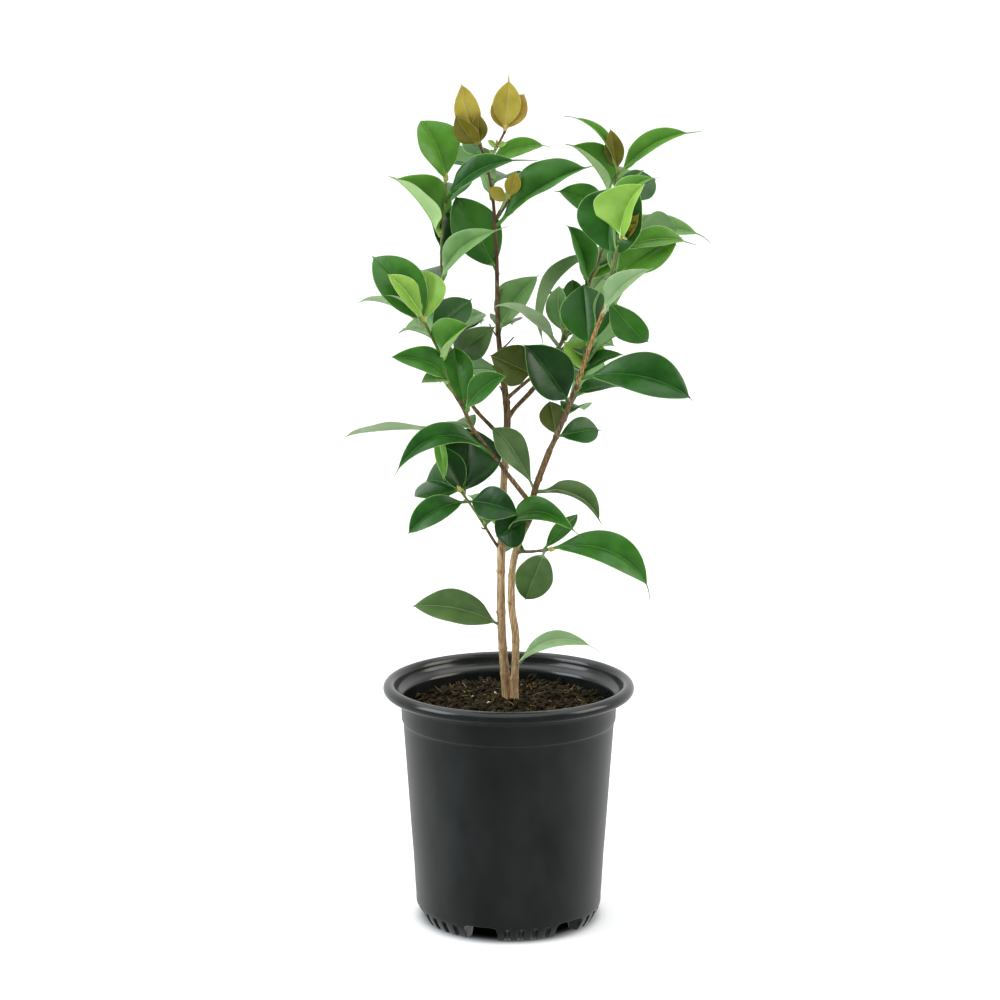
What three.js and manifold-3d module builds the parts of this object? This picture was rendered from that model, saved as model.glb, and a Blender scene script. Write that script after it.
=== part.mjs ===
// A young camellia shrub in its nursery pot. Millimetres, +Z up, -Y towards the front.
// The origin is the centre of the flat underside of the pot.
//
// Two stems rise from the soil. Slim boughs fork off them, and each bough ends where it
// enters a mass of foliage: one twig with its side twigs and leaves, joined into one solid.

import * as THREE from 'three';
import { mergeVertices } from 'three/addons/utils/BufferGeometryUtils.js';
import Module from 'manifold-3d';

const wasm = await Module();
wasm.setup();

// Clearance kept between two pieces that touch on the real plant.
const GAP = 0.3;

// Clearance at the middle where a shoot stands on a limb's end. The two cut ends are not quite
// parallel, so they come closer at one edge.
const END_GAP = 0.58;

// The pot, a moulded nursery can with a rolled rim.
const POT = {
  rimRadius: 82.4,        // outside of the rolled rim
  rimRoll: 4.1,           // radius of the roll itself
  rimHeight: 155.7,       // height of the roll's centre
  collarRadius: 70.4,     // the plain collar under the rim
  collarFoot: 134.5,      // where the collar steps in to the wall
  wallTop: 69.3,          // outside radius of the wall, under the collar
  wallFoot: 61.4,         // outside radius of the wall, over the feet
  wall: 1.6,              // wall thickness
  footHeight: 11,         // height of the ring of feet
  footRadius: 55.7,       // outside radius where the feet stand
  footInner: 49.5,        // inside radius of the ring of feet
  padRadius: 15,          // the round pad in the middle of the underside
  recess: 6.5,            // depth of the underside between the pad and the feet
  floor: 9.5,             // height of the floor inside
  sides: 40,
};
const FEET = { count: 6, first: -18, archWidth: 21, archTop: 10.5, flutes: 4, fluteRadius: 1.5 };

// The potting mix: level in the middle and a little lower at the wall.
const SOIL = { middle: 147, edge: 142, levelRadius: 9, lumps: 1.6, sides: 36, seed: 11 };

// The wood. Each limb is named by the limb it forks from, the way along it (right, back and
// up from the origin), and its radius at the foot and at the end.
const LIMBS = {
  stem_left: {
    radius: [2.85, 1.95], sides: 8, flare: 1.2,
    way: [[-1.4, 0.6, 147.3], [-1.8, 0.5, 156], [-4.4, 0, 190.5], [-5, 0, 211], [-5, 0, 238],
      [-3.1, 0, 295.5], [-1.1, 0, 326], [-1.1, 0, 339.5], [-4, 0, 363]],
  },
  stem_right: {
    radius: [2.5, 1.85], sides: 8, flare: 1.2,
    way: [[3.6, -3.9, 147.3], [3.6, -3.9, 156], [4.5, -4.2, 191], [1.9, -4.8, 211],
      [2.6, -5.2, 238], [6.7, -6, 254.5], [13.9, -8.5, 272], [16.5, -10, 288], [26, -16, 316]],
  },
  bough_low_left: {
    from: 'stem_right', radius: [1.5, 1.4], sides: 6,
    way: [[15, -9.2, 279], [7, -13, 290], [-1, -17, 301]],
  },
  bough_high_left: {
    from: 'stem_left', radius: [1.25, 1.15], sides: 6,
    way: [[-1.6, 0, 317], [-10, 3, 327], [-23, 6, 341], [-32, 8, 360]],
  },
  bough_rear: {
    from: 'stem_left', radius: [1.4, 1.3], sides: 6,
    way: [[-1.1, 0, 333], [3, 4, 339], [17, 14, 353], [29, 24, 371]],
  },
  bough_inner: {
    from: 'stem_left', radius: [1.2, 1.1], sides: 6,
    way: [[-2.2, 0, 346], [1.5, -1.5, 350], [14, -3, 361]],
  },
};

// The leaves. A blade is a lens in section: thickest on its midrib, sharp at its margins.
const LEAF = {
  petiole: 0.8,                                   // radius of the stalk
  foot: 0.12,                                     // share of the leaf that is stalk
  stations: [0, 0.12, 0.24, 0.42, 0.62, 0.82, 1], // places of the sections
  crest: 0.6,                                     // where along its reach the blade arches most
  thickness: 0.018,                               // of the blade's length, at the midrib
  tip: 0.18,                                      // half width at the very tip
  fold: [10, 20],                                 // degrees that each half rises
  roll: 6,                                        // degrees of seeded twist either way
};

// Leaves on the shaded rear of a shoot, placed by the seeded rule.
const REAR = { right: [8, 26], back: [38, 50], up: [-4, 14], width: 0.48, lean: 12, arch: 0.1 };

// Each shoot is one mass of foliage. Its stem grows on from a limb's end, or forks from a
// limb's side. A leaf's row is: place along the twig from 0 to 1, how far its tip lies right,
// back and up from its foot, its width over its length, the degrees that its upper face
// leans from straight up towards the front, and how far its middle arches over its length.
// A fork is a side twig: its place, its reach right, back and up, and its own leaves.
const SHOOTS = {
  foliage_top: {
    on: 'stem_left', radius: [1.75, 0.75], rear: 3, seed: 3,
    way: [[-7, 1, 392], [-8, 3, 443], [-11, 5, 481], [-16, 5, 503], [-20, 5, 512]],
    leaves: [
      [0.18, 27, 6, 36, 0.46, 35, 0.08],
      [0.39, -28, 14, 49, 0.54, 62, 0.05],
      [0.63, 59, -8, 34, 0.52, 38, 0.24],
      [0.89, 43, 8, 14, 0.36, 30, 0.12],
      [0.93, -13, 20, 10, 0.48, 50, 0.05],
      [0.99, -8, 2, 38, 0.44, 82, 0.02],
      [0.98, -16, -4, 22, 0.5, 80, 0.02],
      [0.98, 0, 6, 24, 0.44, 80, 0.02],
    ],
    forks: [
      {
        at: 0.66, reach: [6, -2, 14], radius: [0.8, 0.6],
        leaves: [
          [0.95, -9, 5, 8, 0.5, 60, 0.04],
          [1, 6, -2, 17, 0.42, 74, 0.03],
        ],
      },
      {
        at: 0.9, reach: [12, 2, 20], radius: [0.85, 0.7],
        leaves: [
          [0.98, 3, -2, 35, 0.5, 82, 0.02],
          [1, 11, 4, 24, 0.5, 80, 0.03],
          [1, -8, 5, 20, 0.5, 80, 0.03],
        ],
      },
    ],
  },
  foliage_high_left: {
    on: 'bough_high_left', radius: [1.1, 0.7], rear: 3, seed: 5,
    way: [[-41, 8, 391], [-43, 8, 418], [-43, 4, 449], [-40, 0, 486]],
    leaves: [
      [0.1, 27, -34, 26, 0.44, 60, 0.06],
      [0.22, 25, 34, 10, 0.42, 40, 0.08],
      [0.45, 45, -34, 39, 0.42, 50, 0.12],
      [0.7, -36, 6, 41, 0.6, 28, 0.22],
      [0.98, 59, -24, 18, 0.42, 48, 0.14],
      [0.99, -9, 10, 42, 0.66, 75, 0.03],
    ],
  },
  foliage_low_left: {
    on: 'bough_low_left', radius: [1.35, 0.75], rear: 3, seed: 7,
    way: [[-8, -18, 311], [-22, -27, 331], [-29, -32, 346], [-38, -38, 363], [-43, -42, 381],
      [-53, -46, 403]],
    leaves: [
      [0.08, -62, -16, -2, 0.52, 46, 0.42],
      [0.32, -14, 38, 3, 0.46, 30, 0.08],
      [0.42, -8, 8, 43, 0.54, 68, 0.04],
      [0.44, 25, -20, 29, 0.5, 60, 0.1],
      [0.65, -35, -22, 18, 0.46, 46, 0.2],
      [0.64, -17, -24, 3, 0.4, 40, 0.14],
      [0.77, 18, -18, 26, 0.8, 74, 0.03],
      [0.93, 27, 22, 19, 0.56, 62, 0.04],
      [0.96, -18, -12, -1, 0.42, -14, 0.1],
      [0.97, -43, -8, 18, 0.42, -16, 0.12],
      [0.97, -35, 8, 44, 0.52, 46, 0.12],
      [0.99, -23, -8, 32, 0.4, -60, 0.03],
      [0.99, 6, 14, 31, 0.54, 80, 0.02],
    ],
    forks: [
      {
        at: 0.3, reach: [-26, 12, 2], radius: [0.85, 0.7],
        leaves: [[0.98, -60, 2, -6, 0.42, -14, 0.03]],
      },
    ],
  },
  foliage_right: {
    on: 'stem_right', radius: [1.75, 0.95], rear: 3, seed: 13,
    way: [[30, -18, 325], [42, -26, 357], [52, -33, 389], [61, -38, 415], [65, -42, 440],
      [69, -44, 454]],
    leaves: [
      [0.07, 26, 22, 0, 0.58, 60, 0.06],
      [0.07, -4, 14, 21, 0.56, 70, 0.04],
      [0.23, -29, -18, 42, 0.6, 66, 0.05],
      [0.25, 76, -12, 2, 0.52, 36, 0.36],
      [0.28, 36, 28, 1, 0.44, 14, 0.05],
      [0.39, 3, 20, 19, 0.8, 70, 0.02],
      [0.46, 7, -34, -19, 0.5, 20, 0.12],
      [0.53, -4, 32, 31, 0.88, 76, 0.03],
      [0.68, 27, 14, -24, 0.72, 56, 0.26],
      [0.7, 26, -16, 28, 0.5, 35, 0.06],
      [0.82, 41, 12, 24, 0.5, 58, 0.1],
      [0.92, 26, 16, 50, 0.6, 74, 0.03],
      [0.95, 51, 18, 1, 0.42, 8, 0.14],
      [1, 14, -6, 38, 0.64, 72, 0.03],
      [1, 10, -4, 18, 0.34, 70, 0.03],
    ],
  },
  foliage_rear: {
    on: 'bough_rear', radius: [1.25, 0.75], rear: 5, seed: 17,
    way: [[45, 38, 396], [52, 44, 415], [60, 47, 434], [67, 50, 464], [71, 50, 490]],
    leaves: [
      [0.22, -2, 14, 26, 0.5, 50, 0.06],
      [0.46, -38, -20, -44, 0.5, -24, 0.2],
      [0.4, -12, -14, 42, 0.56, 44, 0.05],
      [0.43, 16, 26, 13, 0.5, 55, 0.05],
      [0.64, 72, 6, -1, 0.34, 12, 0.14],
      [0.77, -37, -12, 18, 0.46, 52, 0.08],
      [0.85, 29, 24, 12, 0.6, 62, 0.04],
      [0.89, -31, -8, 32, 0.5, 56, 0.05],
      [0.96, 54, 4, 28, 0.4, 16, 0.2],
      [0.98, -38, -4, 38, 0.4, -2, 0.14],
      [0.99, -6, 2, 29, 0.36, 76, 0.02],
    ],
  },
  foliage_inner: {
    on: 'bough_inner', radius: [1.05, 0.75], rear: 1, seed: 19,
    way: [[26, -5, 375], [33, -4, 384], [35, -1, 390]],
    leaves: [
      [0.06, -28, -20, 20, 0.7, 66, 0.05],
      [0.76, -42, -34, 31, 0.26, -14, 0.1],
      [0.97, -2, 12, 32, 0.46, 60, 0.04],
    ],
  },
  foliage_lower_left: {
    from: 'stem_left', radius: [1.05, 0.8], rear: 1, seed: 23,
    way: [[-6.6, 0, 249], [-10, -4, 255], [-19, -14, 272], [-27, -24, 286], [-30, -27, 291]],
    leaves: [
      [0.78, 28, -24, 2, 0.6, 60, 0.12],
      [0.78, -38, -12, -19, 0.46, 48, 0.24],
      [0.94, 1, 30, 31, 0.8, 76, 0.02],
      [1, -25, -14, 0, 0.84, 54, 0.28],
      [0.98, -18, 6, 30, 0.6, 50, 0.04],
    ],
  },
  foliage_lower_right: {
    from: 'stem_right', radius: [1.15, 0.85], rear: 0, seed: 29,
    way: [[4, -5.2, 246], [8, -8, 248], [14, -12, 249], [25, -20, 252]],
    leaves: [
      [0.97, 65, -10, -29, 0.48, 42, 0.34],
      [0.92, -15, 18, -33, 0.66, 74, 0.05],
      [0.75, 24, 20, 15, 0.36, 50, 0.05],
    ],
  },
};

// Leaves that stand alone on a stem, each a node of its own. The row's first number is the
// place along the stem.
const LONE_LEAVES = {
  leaf_arching: { from: 'stem_left', seed: 31, row: [0.56, 51, -26, -5, 0.4, 40, 0.34] },
  leaf_low_left: { from: 'stem_left', seed: 37, row: [0.23, -55, -10, 21, 0.44, 56, 0.14] },
  leaf_between_stems: { from: 'stem_left', seed: 41, row: [0.45, 9, 30, 6, 0.44, 40, 0.05] },
  leaf_low_right: { from: 'stem_right', seed: 43, row: [0.13, 53, -12, 18, 0.46, -28, 0.18] },
  leaf_at_fork: { from: 'stem_right', seed: 47, row: [0.83, 43, -8, -21, 0.46, -34, 0.28] },
  leaf_upright: { from: 'stem_right', seed: 53, row: [0.8, -23, -10, 47, 0.4, -60, 0.05] },
  leaf_front: { from: 'stem_right', seed: 59, row: [0.68, -12, -22, -5, 0.92, 60, 0.16] },
};

const colours = {
  pot: new THREE.MeshStandardMaterial({ color: '#37393a', roughness: 0.42, metalness: 0 }),
  soil: new THREE.MeshStandardMaterial({ color: '#3b2c20', roughness: 0.95, metalness: 0 }),
  wood: new THREE.MeshStandardMaterial({ color: '#7d5b3a', roughness: 0.75, metalness: 0 }),
  leaf: new THREE.MeshStandardMaterial({ color: '#2f6b24', roughness: 0.35, metalness: 0 }),
};

const vector = (p) => new THREE.Vector3(...p);
const radians = THREE.MathUtils.degToRad;

// A small seeded random number source, from 0 to 1 (mulberry32).
function seeded(seed) {
  let state = seed;
  return () => {
    state = (state + 0x6d2b79f5) | 0;
    let t = Math.imul(state ^ (state >>> 15), 1 | state);
    t = (t + Math.imul(t ^ (t >>> 7), 61 | t)) ^ t;
    return ((t ^ (t >>> 14)) >>> 0) / 4294967296;
  };
}

const between = (random, [low, high]) => low + (high - low) * random();

// Turns a closed three.js geometry into a solid that can be joined and cut.
function solidOf(geometry) {
  const bare = new THREE.BufferGeometry();
  bare.setAttribute('position', geometry.getAttribute('position'));
  bare.setIndex(geometry.getIndex());
  const merged = mergeVertices(bare, 1e-4);
  const index = Array.from(merged.getIndex().array);
  const kept = [];
  for (let i = 0; i < index.length; i += 3) {
    const [a, b, c] = index.slice(i, i + 3);
    if (a !== b && b !== c && c !== a) kept.push(a, b, c);
  }
  return new wasm.Manifold(new wasm.Mesh({
    numProp: 3,
    vertProperties: Float32Array.from(merged.getAttribute('position').array),
    triVerts: Uint32Array.from(kept),
  }));
}

// Turns a solid back into a named mesh.
function meshOf(name, solid, material) {
  const { numProp, vertProperties, triVerts } = solid.getMesh();
  const points = new Float32Array((vertProperties.length / numProp) * 3);
  for (let i = 0; i < points.length / 3; i += 1) {
    points.set(vertProperties.subarray(i * numProp, i * numProp + 3), i * 3);
  }
  const geometry = new THREE.BufferGeometry();
  geometry.setAttribute('position', new THREE.BufferAttribute(points, 3));
  geometry.setIndex(new THREE.BufferAttribute(Uint32Array.from(triVerts), 1));
  geometry.computeVertexNormals();
  const mesh = new THREE.Mesh(geometry, material);
  mesh.name = name;
  return mesh;
}

// Turns an outline of [radius, height] pairs about the upright axis.
function turned(outline, sides) {
  const points = outline.map(([radius, height]) => new THREE.Vector2(radius, height));
  return new THREE.LatheGeometry(points, sides).rotateX(Math.PI / 2);
}

// The pot: floor, tapered wall, collar and rolled rim in one turned outline, with arches
// between the feet and short flutes on them cut out.
function makePot() {
  const rollMiddle = POT.rimRadius - POT.rimRoll;
  const inside = (radius) => radius - POT.wall;
  const outline = [
    [0, 0], [POT.padRadius, 0], [POT.padRadius + 2, POT.recess],
    [POT.footInner - 2, POT.recess], [POT.footInner, 0], [POT.footRadius, 0],
    [POT.wallFoot - 0.4, POT.footHeight], [POT.wallFoot, POT.footHeight + 4],
    [POT.wallTop, POT.collarFoot - 1], [POT.collarRadius, POT.collarFoot + 0.6],
    [POT.collarRadius + 0.4, POT.rimHeight - 9], [POT.collarRadius + 2.2, POT.rimHeight - 5.5],
  ];
  for (let turn = -135; turn <= 180; turn += 45) {
    outline.push([
      rollMiddle + POT.rimRoll * Math.cos(radians(turn)),
      POT.rimHeight + POT.rimRoll * Math.sin(radians(turn)),
    ]);
  }
  outline.push(
    [rollMiddle - POT.rimRoll - 1, POT.rimHeight - 3.4],
    [inside(POT.collarRadius) + 1.2, POT.rimHeight - 5.3],
    [inside(POT.collarRadius), POT.rimHeight - 6.7],
    [inside(POT.collarRadius) - 0.6, POT.collarFoot], [inside(POT.wallTop), POT.collarFoot - 2],
    [inside(POT.wallFoot), POT.footHeight + 4], [inside(POT.wallFoot) - 2.5, POT.floor],
    [0, POT.floor],
  );
  let pot = solidOf(turned(outline, POT.sides));

  const arch = new THREE.Shape();
  const half = FEET.archWidth / 2;
  arch.moveTo(-half, -1);
  arch.lineTo(half, -1);
  arch.lineTo(half - 1.5, FEET.archTop - 2.5);
  arch.lineTo(half - 4, FEET.archTop);
  arch.lineTo(-half + 4, FEET.archTop);
  arch.lineTo(-half + 1.5, FEET.archTop - 2.5);
  arch.closePath();
  const depth = POT.wallFoot + 4 - POT.footInner + 2;
  for (let foot = 0; foot < FEET.count; foot += 1) {
    const middle = FEET.first + (360 / FEET.count) * foot;
    const cut = new THREE.ExtrudeGeometry(arch, { depth, bevelEnabled: false })
      .rotateX(Math.PI / 2)
      .translate(0, -(POT.footInner - 2), 0)
      .rotateZ(radians(middle));
    pot = pot.subtract(solidOf(cut));
    for (let flute = 0; flute < FEET.flutes; flute += 1) {
      const spread = (flute - (FEET.flutes - 1) / 2) * (26 / (FEET.flutes - 1));
      const groove = new THREE.CylinderGeometry(FEET.fluteRadius, FEET.fluteRadius, 12, 5)
        .rotateX(Math.PI / 2)
        .translate(0, -(POT.footRadius + 2.9), 3)
        .rotateZ(radians(middle + 180 / FEET.count + spread));
      pot = pot.subtract(solidOf(groove));
    }
  }
  return pot;
}

// The soil fills the pot to a little under the rim, with a seeded crumb on top.
function makeSoil() {
  const random = seeded(SOIL.seed);
  const wallAt = (height) => POT.wallFoot - POT.wall - GAP
    + (POT.wallTop - POT.wallFoot) * ((height - 15) / (POT.collarFoot - 16));
  const rings = [SOIL.levelRadius, 20, 31, 42, 53, 62];
  const fall = (radius) => SOIL.middle - (SOIL.middle - SOIL.edge) * (radius / 66) ** 2;
  const outline = [
    [0, POT.floor + GAP], [wallAt(15) - 4, POT.floor + GAP], [wallAt(16) - 0.4, 16],
    [wallAt(POT.collarFoot - 3) - 0.2, POT.collarFoot - 3],
    [wallAt(POT.collarFoot - 3) - 0.2, SOIL.edge],
    ...rings.slice().reverse().map((radius) => [radius, fall(radius)]),
    [0, fall(SOIL.levelRadius)],
  ];
  const geometry = turned(outline, SOIL.sides);
  const position = geometry.getAttribute('position');
  const crumb = new Map();
  for (let i = 0; i < position.count; i += 1) {
    const radius = Math.hypot(position.getX(i), position.getY(i));
    const loose = radius > SOIL.levelRadius + 1 && radius < 64 && position.getZ(i) > 100;
    if (loose) {
      const key = `${Math.round(position.getX(i) * 10)},${Math.round(position.getY(i) * 10)}`;
      if (!crumb.has(key)) crumb.set(key, (random() - 0.6) * SOIL.lumps);
      position.setZ(i, position.getZ(i) + crumb.get(key));
    }
  }
  return solidOf(geometry);
}

// A tapered limb: a cylinder bent along a smooth curve. Where it stands on the soil it
// flares and ends in a flat cut.
function makeLimb(curve, [foot, end], sides, grow = 0, flare = 0) {
  const steps = Math.max(2, Math.round(curve.getLength() / (sides > 6 ? 17 : 13)));
  const frames = curve.computeFrenetFrames(steps, false);
  const geometry = new THREE.CylinderGeometry(1, 1, 1, sides, steps);
  const position = geometry.getAttribute('position');
  for (let i = 0; i < position.count; i += 1) {
    const step = Math.round((position.getY(i) + 0.5) * steps);
    const along = step / steps;
    const radius = foot + (end - foot) * along + grow + (step === 0 ? flare * 0.35 : 0);
    const centre = curve.getPointAt(along);
    const place = centre.clone()
      .addScaledVector(frames.normals[step], position.getX(i) * radius)
      .addScaledVector(frames.binormals[step], -position.getZ(i) * radius);
    if (flare && step === 0) place.z = centre.z;
    position.setXYZ(i, place.x, place.y, place.z);
  }
  return solidOf(geometry);
}

const curveThrough = (way) => new THREE.CatmullRomCurve3(way.map(vector), false, 'centripetal');

// A leaf from its foot to its tip: a stalk that opens into an arched blade, folded a little
// along its midrib.
function makeLeaf(foot, [, right, back, up, width, lean, arch], random) {
  const reach = new THREE.Vector3(right, back, up);
  const length = reach.length();
  const along = reach.clone().normalize();
  const fold = Math.tan(radians(between(random, LEAF.fold)));
  const roll = radians((random() * 2 - 1) * LEAF.roll);
  const face = new THREE.Vector3(0, -Math.sin(radians(lean)), Math.cos(radians(lean)));
  face.addScaledVector(along, -face.dot(along)).normalize().applyAxisAngle(along, roll);
  const middle = foot.clone().addScaledVector(reach, LEAF.crest)
    .addScaledVector(face, 2 * arch * length);
  const rib = new THREE.QuadraticBezierCurve3(foot, middle, foot.clone().add(reach));
  const side = along.clone().cross(face);

  const steps = LEAF.stations.length - 1;
  const geometry = new THREE.CylinderGeometry(1, 1, 1, 4, steps);
  const position = geometry.getAttribute('position');
  for (let i = 0; i < position.count; i += 1) {
    const place = LEAF.stations[Math.round((position.getY(i) + 0.5) * steps)];
    const blade = Math.max(0, (place - LEAF.foot) / (1 - LEAF.foot));
    const outline = 0.5 * width * length * Math.sin(Math.PI * blade) ** 0.8;
    const half = Math.max(outline || 0, blade > 0.5 ? LEAF.tip : LEAF.petiole);
    const thick = Math.max(LEAF.petiole * (1 - 4 * blade), 0.5 * LEAF.thickness * length * (1.2 - blade));
    const upward = side.clone().cross(rib.getTangent(place)).normalize();
    const across = position.getX(i);
    const lift = Math.abs(across) * (half - LEAF.petiole * (1 - blade)) * fold + position.getZ(i) * thick;
    const point = rib.getPoint(place)
      .addScaledVector(side, across * half)
      .addScaledVector(upward, lift);
    position.setXYZ(i, point.x, point.y, point.z);
  }
  return solidOf(geometry);
}

// The seeded rule for the rear of a shoot: leaves alternate right and left along the twig.
function rearRows(count, random) {
  return Array.from({ length: count }, (_, i) => [
    (i + 0.35 + 0.3 * random()) / count,
    between(random, REAR.right) * (i % 2 ? -1 : 1),
    between(random, REAR.back),
    between(random, REAR.up),
    REAR.width, REAR.lean, REAR.arch,
  ]);
}

// True where two solids come closer than the clearance.
function tooClose(solid, others) {
  return others.some((other) => solid.minGap(other, GAP) < GAP * 0.9);
}

// The twig's curve, its side twigs and their leaves, each as a loose solid in the list.
function growTwig(curve, spec, sides, random, standing, pieces) {
  pieces.push(makeLimb(curve, spec.radius, sides));
  const rows = [...spec.leaves, ...rearRows(spec.rear || 0, random)];
  for (const row of rows) {
    const leaf = makeLeaf(curve.getPointAt(row[0]), row, random);
    if (!tooClose(leaf, standing)) pieces.push(leaf);
  }
  for (const fork of spec.forks || []) {
    const start = curve.getPointAt(fork.at);
    const end = start.clone().add(vector(fork.reach));
    const bow = start.clone().lerp(end, 0.5).add(new THREE.Vector3(0, 0, -1.5));
    growTwig(new THREE.CatmullRomCurve3([start, bow, end]), fork, 4, random, standing, pieces);
  }
}

const plant = new THREE.Group();
const curves = {};
const thick = {};
const standing = [];

function place(name, solid, material) {
  plant.add(meshOf(name, solid, material));
  standing.push(solid);
}

place('pot', makePot(), colours.pot);
place('soil', makeSoil(), colours.soil);

for (const [name, limb] of Object.entries(LIMBS)) {
  const curve = curveThrough(limb.way);
  curves[name] = curve;
  let solid = makeLimb(curve, limb.radius, limb.sides, 0, limb.flare);
  if (limb.from) solid = solid.subtract(thick[limb.from]);
  thick[name] = makeLimb(curve, limb.radius, limb.sides, GAP + 0.06, limb.flare);
  place(name, solid, colours.wood);
}

for (const [name, shoot] of Object.entries(SHOOTS)) {
  const random = seeded(shoot.seed);
  const way = shoot.way.map(vector);
  if (shoot.on) {
    const limb = curves[shoot.on];
    way.unshift(limb.getPointAt(1).addScaledVector(limb.getTangentAt(1), END_GAP));
  }
  const curve = new THREE.CatmullRomCurve3(way, false, 'centripetal');
  const pieces = [];
  const others = standing.filter((solid, i) => plant.children[i].name !== (shoot.on || shoot.from));
  growTwig(curve, shoot, 5, random, others, pieces);
  let mass = pieces.reduce((whole, piece) => whole.add(piece));
  mass = mass.subtract(thick[shoot.on || shoot.from]);
  place(name, mass, colours.leaf);
}

for (const [name, { from, seed, row }] of Object.entries(LONE_LEAVES)) {
  const leaf = makeLeaf(curves[from].getPointAt(row[0]), row, seeded(seed));
  place(name, leaf.subtract(thick[from]), colours.leaf);
}

export default plant;
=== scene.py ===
import math

import bpy
import numpy as np
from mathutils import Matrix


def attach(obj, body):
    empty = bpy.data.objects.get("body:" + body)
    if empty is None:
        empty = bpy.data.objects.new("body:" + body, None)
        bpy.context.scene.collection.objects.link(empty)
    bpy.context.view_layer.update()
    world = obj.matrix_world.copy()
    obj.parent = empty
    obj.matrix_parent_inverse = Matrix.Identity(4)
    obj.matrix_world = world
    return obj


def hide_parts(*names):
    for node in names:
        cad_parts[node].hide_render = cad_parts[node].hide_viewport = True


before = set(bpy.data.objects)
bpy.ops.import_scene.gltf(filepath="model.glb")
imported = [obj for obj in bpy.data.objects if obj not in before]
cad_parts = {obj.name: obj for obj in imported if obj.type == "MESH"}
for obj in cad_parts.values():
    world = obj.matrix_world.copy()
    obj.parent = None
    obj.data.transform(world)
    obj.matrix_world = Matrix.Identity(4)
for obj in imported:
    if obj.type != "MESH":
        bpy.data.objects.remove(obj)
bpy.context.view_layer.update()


# The nursery pot. Black polypropylene, injection moulded in one piece: a tapered
# wall, a collar under a rolled rim, and six feet with drainage arches between them.
MM = 0.001                                   # the sizes below are in millimetres


def linear(colour):
    """An sRGB hex colour as the linear light that the shader wants, with full cover."""
    parts = [int(colour[i:i + 2], 16) / 255 for i in (1, 3, 5)]
    return [c / 12.92 if c <= 0.04045 else ((c + 0.055) / 1.055) ** 2.4 for c in parts] + [1.0]


def add(tree, kind, settings=(), values=(), links=()):
    """Adds one node: its settings, the values of its inputs, and its links as {input: (node, output)}."""
    node = tree.nodes.new(kind)
    for name, value in dict(settings).items():
        setattr(node, name, value)
    for name, value in dict(values).items():
        node.inputs[name].default_value = value
    for name, (source, output) in dict(links).items():
        tree.links.new(source.outputs[output], node.inputs[name])
    return node


def finish_of(name, colours, grain, roughness, spread, ior=1.5, gloss=0.5, detail=4.0, places=(0.3, 0.7),
              stretch=(1, 1, 1), bump=0.0, depth=0.1, bump_grain=0.5):
    """One surface: its colours run into each other over patches `grain` mm wide, from the
    first of `places` in the noise to the last, and its roughness varies by `spread` on the
    same patches. A finer relief, `bump` strong and `depth` mm deep over `bump_grain` mm, is
    raised on it. All patterns sit on the object's own coordinates."""
    colours = colours.split()
    material = bpy.data.materials.new(name)
    material.use_nodes = True
    tree = material.node_tree
    tree.nodes.clear()
    out = add(tree, "ShaderNodeOutputMaterial")
    shader = add(tree, "ShaderNodeBsdfPrincipled", values={"IOR": ior, "Specular IOR Level": gloss})
    tree.links.new(shader.outputs["BSDF"], out.inputs["Surface"])
    where = add(tree, "ShaderNodeTexCoord")
    turned = add(tree, "ShaderNodeMapping", values={"Scale": [s / (grain * MM) for s in stretch]},
                 links={"Vector": (where, "Object")})
    patches = add(tree, "ShaderNodeTexNoise", values={"Scale": 1.0, "Detail": detail, "Roughness": 0.6},
                  links={"Vector": (turned, "Vector")})
    ramp = add(tree, "ShaderNodeValToRGB", links={"Fac": (patches, "Fac")})
    stops = ramp.color_ramp.elements
    for i, colour in enumerate(colours):
        at = places[0] + (places[1] - places[0]) * i / max(1, len(colours) - 1)
        stop = stops[i] if i < 2 else stops.new(at)
        stop.position = at
        stop.color = linear(colour)
    tree.links.new(ramp.outputs["Color"], shader.inputs["Base Color"])
    rough = add(tree, "ShaderNodeMapRange",
                values={"From Min": 0.25, "From Max": 0.75,
                        "To Min": roughness - spread, "To Max": roughness + spread},
                links={"Value": (patches, "Fac")})
    tree.links.new(rough.outputs["Result"], shader.inputs["Roughness"])
    if bump:
        fine = add(tree, "ShaderNodeMapping", values={"Scale": [s / (bump_grain * MM) for s in stretch]},
                   links={"Vector": (where, "Object")})
        relief = add(tree, "ShaderNodeTexNoise", values={"Scale": 1.0, "Detail": 3.0, "Roughness": 0.55},
                     links={"Vector": (fine, "Vector")})
        raised = add(tree, "ShaderNodeBump", values={"Strength": bump, "Distance": depth * MM},
                     links={"Height": (relief, "Fac")})
        tree.links.new(raised.outputs["Normal"], shader.inputs["Normal"])
    return material


def sheet_of_squares(rows, columns):
    """Corners of the triangles of a closed skin: rings of points in rows, each ring's last
    point next to its first, and a pole point after all the rings at either end."""
    i, j = np.meshgrid(np.arange(rows - 1), np.arange(columns), indexing="ij")
    k = (j + 1) % columns
    a, b, c, d = i * columns + j, i * columns + k, (i + 1) * columns + k, (i + 1) * columns + j
    skin = np.stack([np.stack([a, b, c], -1), np.stack([a, c, d], -1)], 2).reshape(-1, 3)
    j = np.arange(columns)
    k = (j + 1) % columns
    first, last = rows * columns, rows * columns + 1
    foot = np.stack([np.full(columns, first), k, j], -1)
    top = np.stack([np.full(columns, last), (rows - 1) * columns + j, (rows - 1) * columns + k], -1)
    return np.concatenate([skin, foot, top])


def closed_skin(rings, first=None, last=None):
    """A grid of points (rows, around, 3) with the middle of its end rings as poles."""
    rows, columns = rings.shape[:2]
    first = rings[0].mean(0) if first is None else first
    last = rings[-1].mean(0) if last is None else last
    return np.concatenate([rings.reshape(-1, 3), [first, last]]), sheet_of_squares(rows, columns)


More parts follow.
